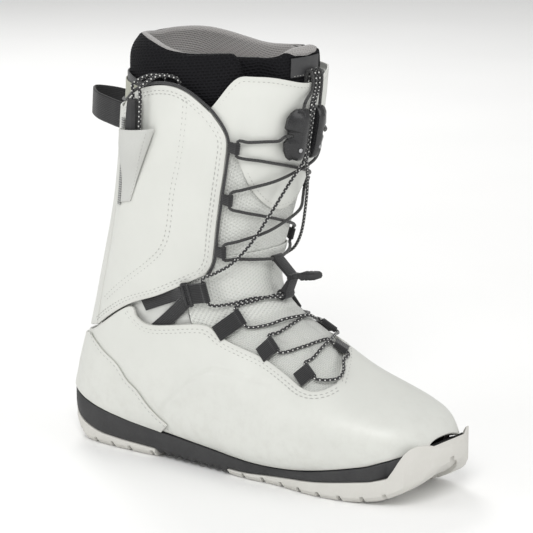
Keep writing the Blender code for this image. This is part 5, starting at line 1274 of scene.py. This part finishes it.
U = ("upper_lace_", BRAID_DARK, "dark_lace", "upper_lace")
for label, run, body, between in (
        ("top_left", runs[0], None, ("cuff", "lace_lock", edge_mid, top_lp)),
        ("lock_left", runs[1], "lace_lock", None),
        ("side_left", runs[2], None, ("lace_lock", "cuff", out_l, loop1)),
        ("zigzag_left", runs[3], "cuff", None),
        ("tab_left", runs[4], None, ("cuff", "lower_boot", loop3, up_c - X * 4)),
        ("tab_right", runs[5], None, ("cuff", "lower_boot", loop3m, up_c + X * 4)),
        ("zigzag_right", runs[6], "cuff", None),
        ("side_right", runs[7], None, ("lace_lock", "cuff", out_r, loop1m)),
        ("lock_right", runs[8], "lace_lock", None),
        ("top_right", runs[9], None, ("cuff", "lace_lock", edge_mid, top_rp))):
    lace_piece(U[0] + label, run, U[1], U[2], U[3], body, between)

c_l = [lock_pt(-1.65, 4.2, z) for z in (22, 10, 0, -10, -19)]
c_r = [lock_pt(1.65, 4.2, z) for z in (22, 10, 0, -10, -19)]


def shin(side):
    s = [((2.75, 0.470), 6.4), ((3.35, 0.445), 6.6), ((3.9, 0.420), 6.6), ((4.4, 0.395), 6.0), ((4.72, 0.372), 4.2)]
    return [skin(k, v if side < 0 else 1 - v, o) for (k, v), o in s]


def tab_pass(s):
    """Through the lower loop of the front tab; the two runs cross one before the other."""
    n = np.array([0, math.cos(0.5), -math.sin(0.5)]) * 1.35 * s
    return [low_c - X * 7 + n, low_c - X * 2 + n, low_c + X * 2 + n, low_c + X * 7 + n]


lower_parts = [hidden(3.9), c_l, shin(-1), through("buckle_lateral"),
               [skin(6.25, 0.385, 1.6), skin(6.30, 0.43, 2.0)], tab_pass(1), [skin(6.52, 0.560, 2.6)],
               through("vamp_loop_1_medial"),
               bridge((8.25, 0.585), (9.15, 0.405), [1.3, 1.05, 1.05, 1.05, 1.3], (0.05, 0.92)),
               through("vamp_loop_2_lateral"),
               bridge((10.35, 0.415), (10.55, 0.50), [1.3, 1.05, 1.2], (0.10, 0.85)),
               through("vamp_loop_3_medial"),
               [skin(11.55, 0.478, 1.45), skin(11.92, 0.455, 1.45), skin(12.06, 0.428, 1.5)],
               through("vamp_loop_3_lateral", False),
               bridge((11.05, 0.412), (10.35, 0.545), [1.4, CROSS, CROSS, 1.6], (0.06, 0.9)),
               through("vamp_loop_2_medial", False),
               bridge((9.2, 0.545), (8.2, 0.405), [1.5, CROSS, CROSS, CROSS, 1.5], (0.08, 0.92)),
               through("vamp_loop_1_lateral", False),
               [skin(6.50, 0.432, 2.6)], tab_pass(-1), [skin(6.30, 0.57, 2.0), skin(6.25, 0.615, 1.6)],
               through("buckle_medial", False), shin(1)[::-1], c_r[::-1], hidden(8.9)[::-1]]
lower_lace = lace_line(lower_parts)
buckle_l, buckle_m = HOLES["buckle_lateral"][0], HOLES["buckle_medial"][0]
pass_a, pass_b = tab_pass(1), tab_pass(-1)
runs = cut_line(lower_lace, c_l[0], c_l[-1], buckle_l, pass_a[1], pass_b[2], buckle_m, c_r[-1], c_r[0])
for label, run, body, between in (
        ("top_left", runs[0], None, ("cuff", "lace_lock", edge_mid, c_l[0])),
        ("lock_left", runs[1], "lace_lock", None),
        ("shin_left", runs[2], None, ("lace_lock", "cuff", c_l[-1], buckle_l)),
        ("ankle_left", runs[3], None, ("cuff", "lower_boot", buckle_l, pass_a[1])),
        ("vamp", runs[4], "lower_boot", None),
        ("ankle_right", runs[5], None, ("cuff", "lower_boot", buckle_m, pass_b[2])),
        ("shin_right", runs[6], None, ("lace_lock", "cuff", c_r[-1], buckle_m)),
        ("lock_right", runs[7], "lace_lock", None),
        ("top_right", runs[8], None, ("cuff", "lace_lock", edge_mid, c_r[0]))):
    lace_piece("lower_lace_" + label, run, BRAID_FLECK, "speckled_lace", "lower_lace", body, between)

# ---- floor, light, camera --------------------------------------------------------------------------------------------------------------
floor_mat = Shader("studio_floor", 0.7)
floor_mat.colour(floor_mat.ramp(floor_mat.noise(floor_mat.object_mm(), 0.004, 2), (0.3, (0.94, 0.94, 0.935)), (0.7, (0.96, 0.96, 0.955))))
bpy.ops.mesh.primitive_plane_add(size=12, location=(0, 0, -0.0006))
floor = bpy.context.object
floor.name = "studio_floor"
floor.data.materials.append(floor_mat.mat)

TARGET = Vector((0, 0, 0.165))


def softbox(name, where, size, power, tint=(1, 1, 1)):
    lamp = bpy.data.lights.new(name, "AREA")
    lamp.shape, lamp.size, lamp.energy, lamp.color = "DISK", size, power, tint
    obj = bpy.data.objects.new(name, lamp)
    obj.location = where
    obj.rotation_euler = (Vector(where) - TARGET).to_track_quat("Z", "Y").to_euler()
    bpy.context.scene.collection.objects.link(obj)


softbox("key", (-1.5, -1.0, 1.6), 1.0, 24)
softbox("fill", (0.4, -2.0, 0.9), 1.6, 11)
softbox("rim", (1.2, 1.4, 1.4), 1.0, 14)
softbox("heel_side", (-1.6, 1.2, 0.8), 1.4, 10)
world_mat = bpy.data.worlds.new("studio")
world_mat.use_nodes = True
world_mat.node_tree.nodes["Background"].inputs[0].default_value = (1.0, 1.0, 0.99, 1)
world_mat.node_tree.nodes["Background"].inputs[1].default_value = 0.54
bpy.context.scene.world = world_mat
bpy.context.scene.view_settings.view_transform = "Standard"

AZ, EL = math.radians(-52), math.radians(12.5)
back = Vector((math.sin(AZ) * math.cos(EL), -math.cos(AZ) * math.cos(EL), math.sin(EL)))
cam = bpy.data.cameras.new("photo_camera")
cam.sensor_width, cam.lens = 36, 2646 * 36 / 533
cam.shift_x, cam.shift_y = (266.5 - 259.5) / 533, -(266.5 - 228.5) / 533
camera = bpy.data.objects.new("photo_camera", cam)
camera.location = TARGET + back * 1.8
camera.rotation_euler = back.to_track_quat("Z", "Y").to_euler()
bpy.context.scene.collection.objects.link(camera)
bpy.context.scene.camera = camera

bpy.context.view_layer.update()
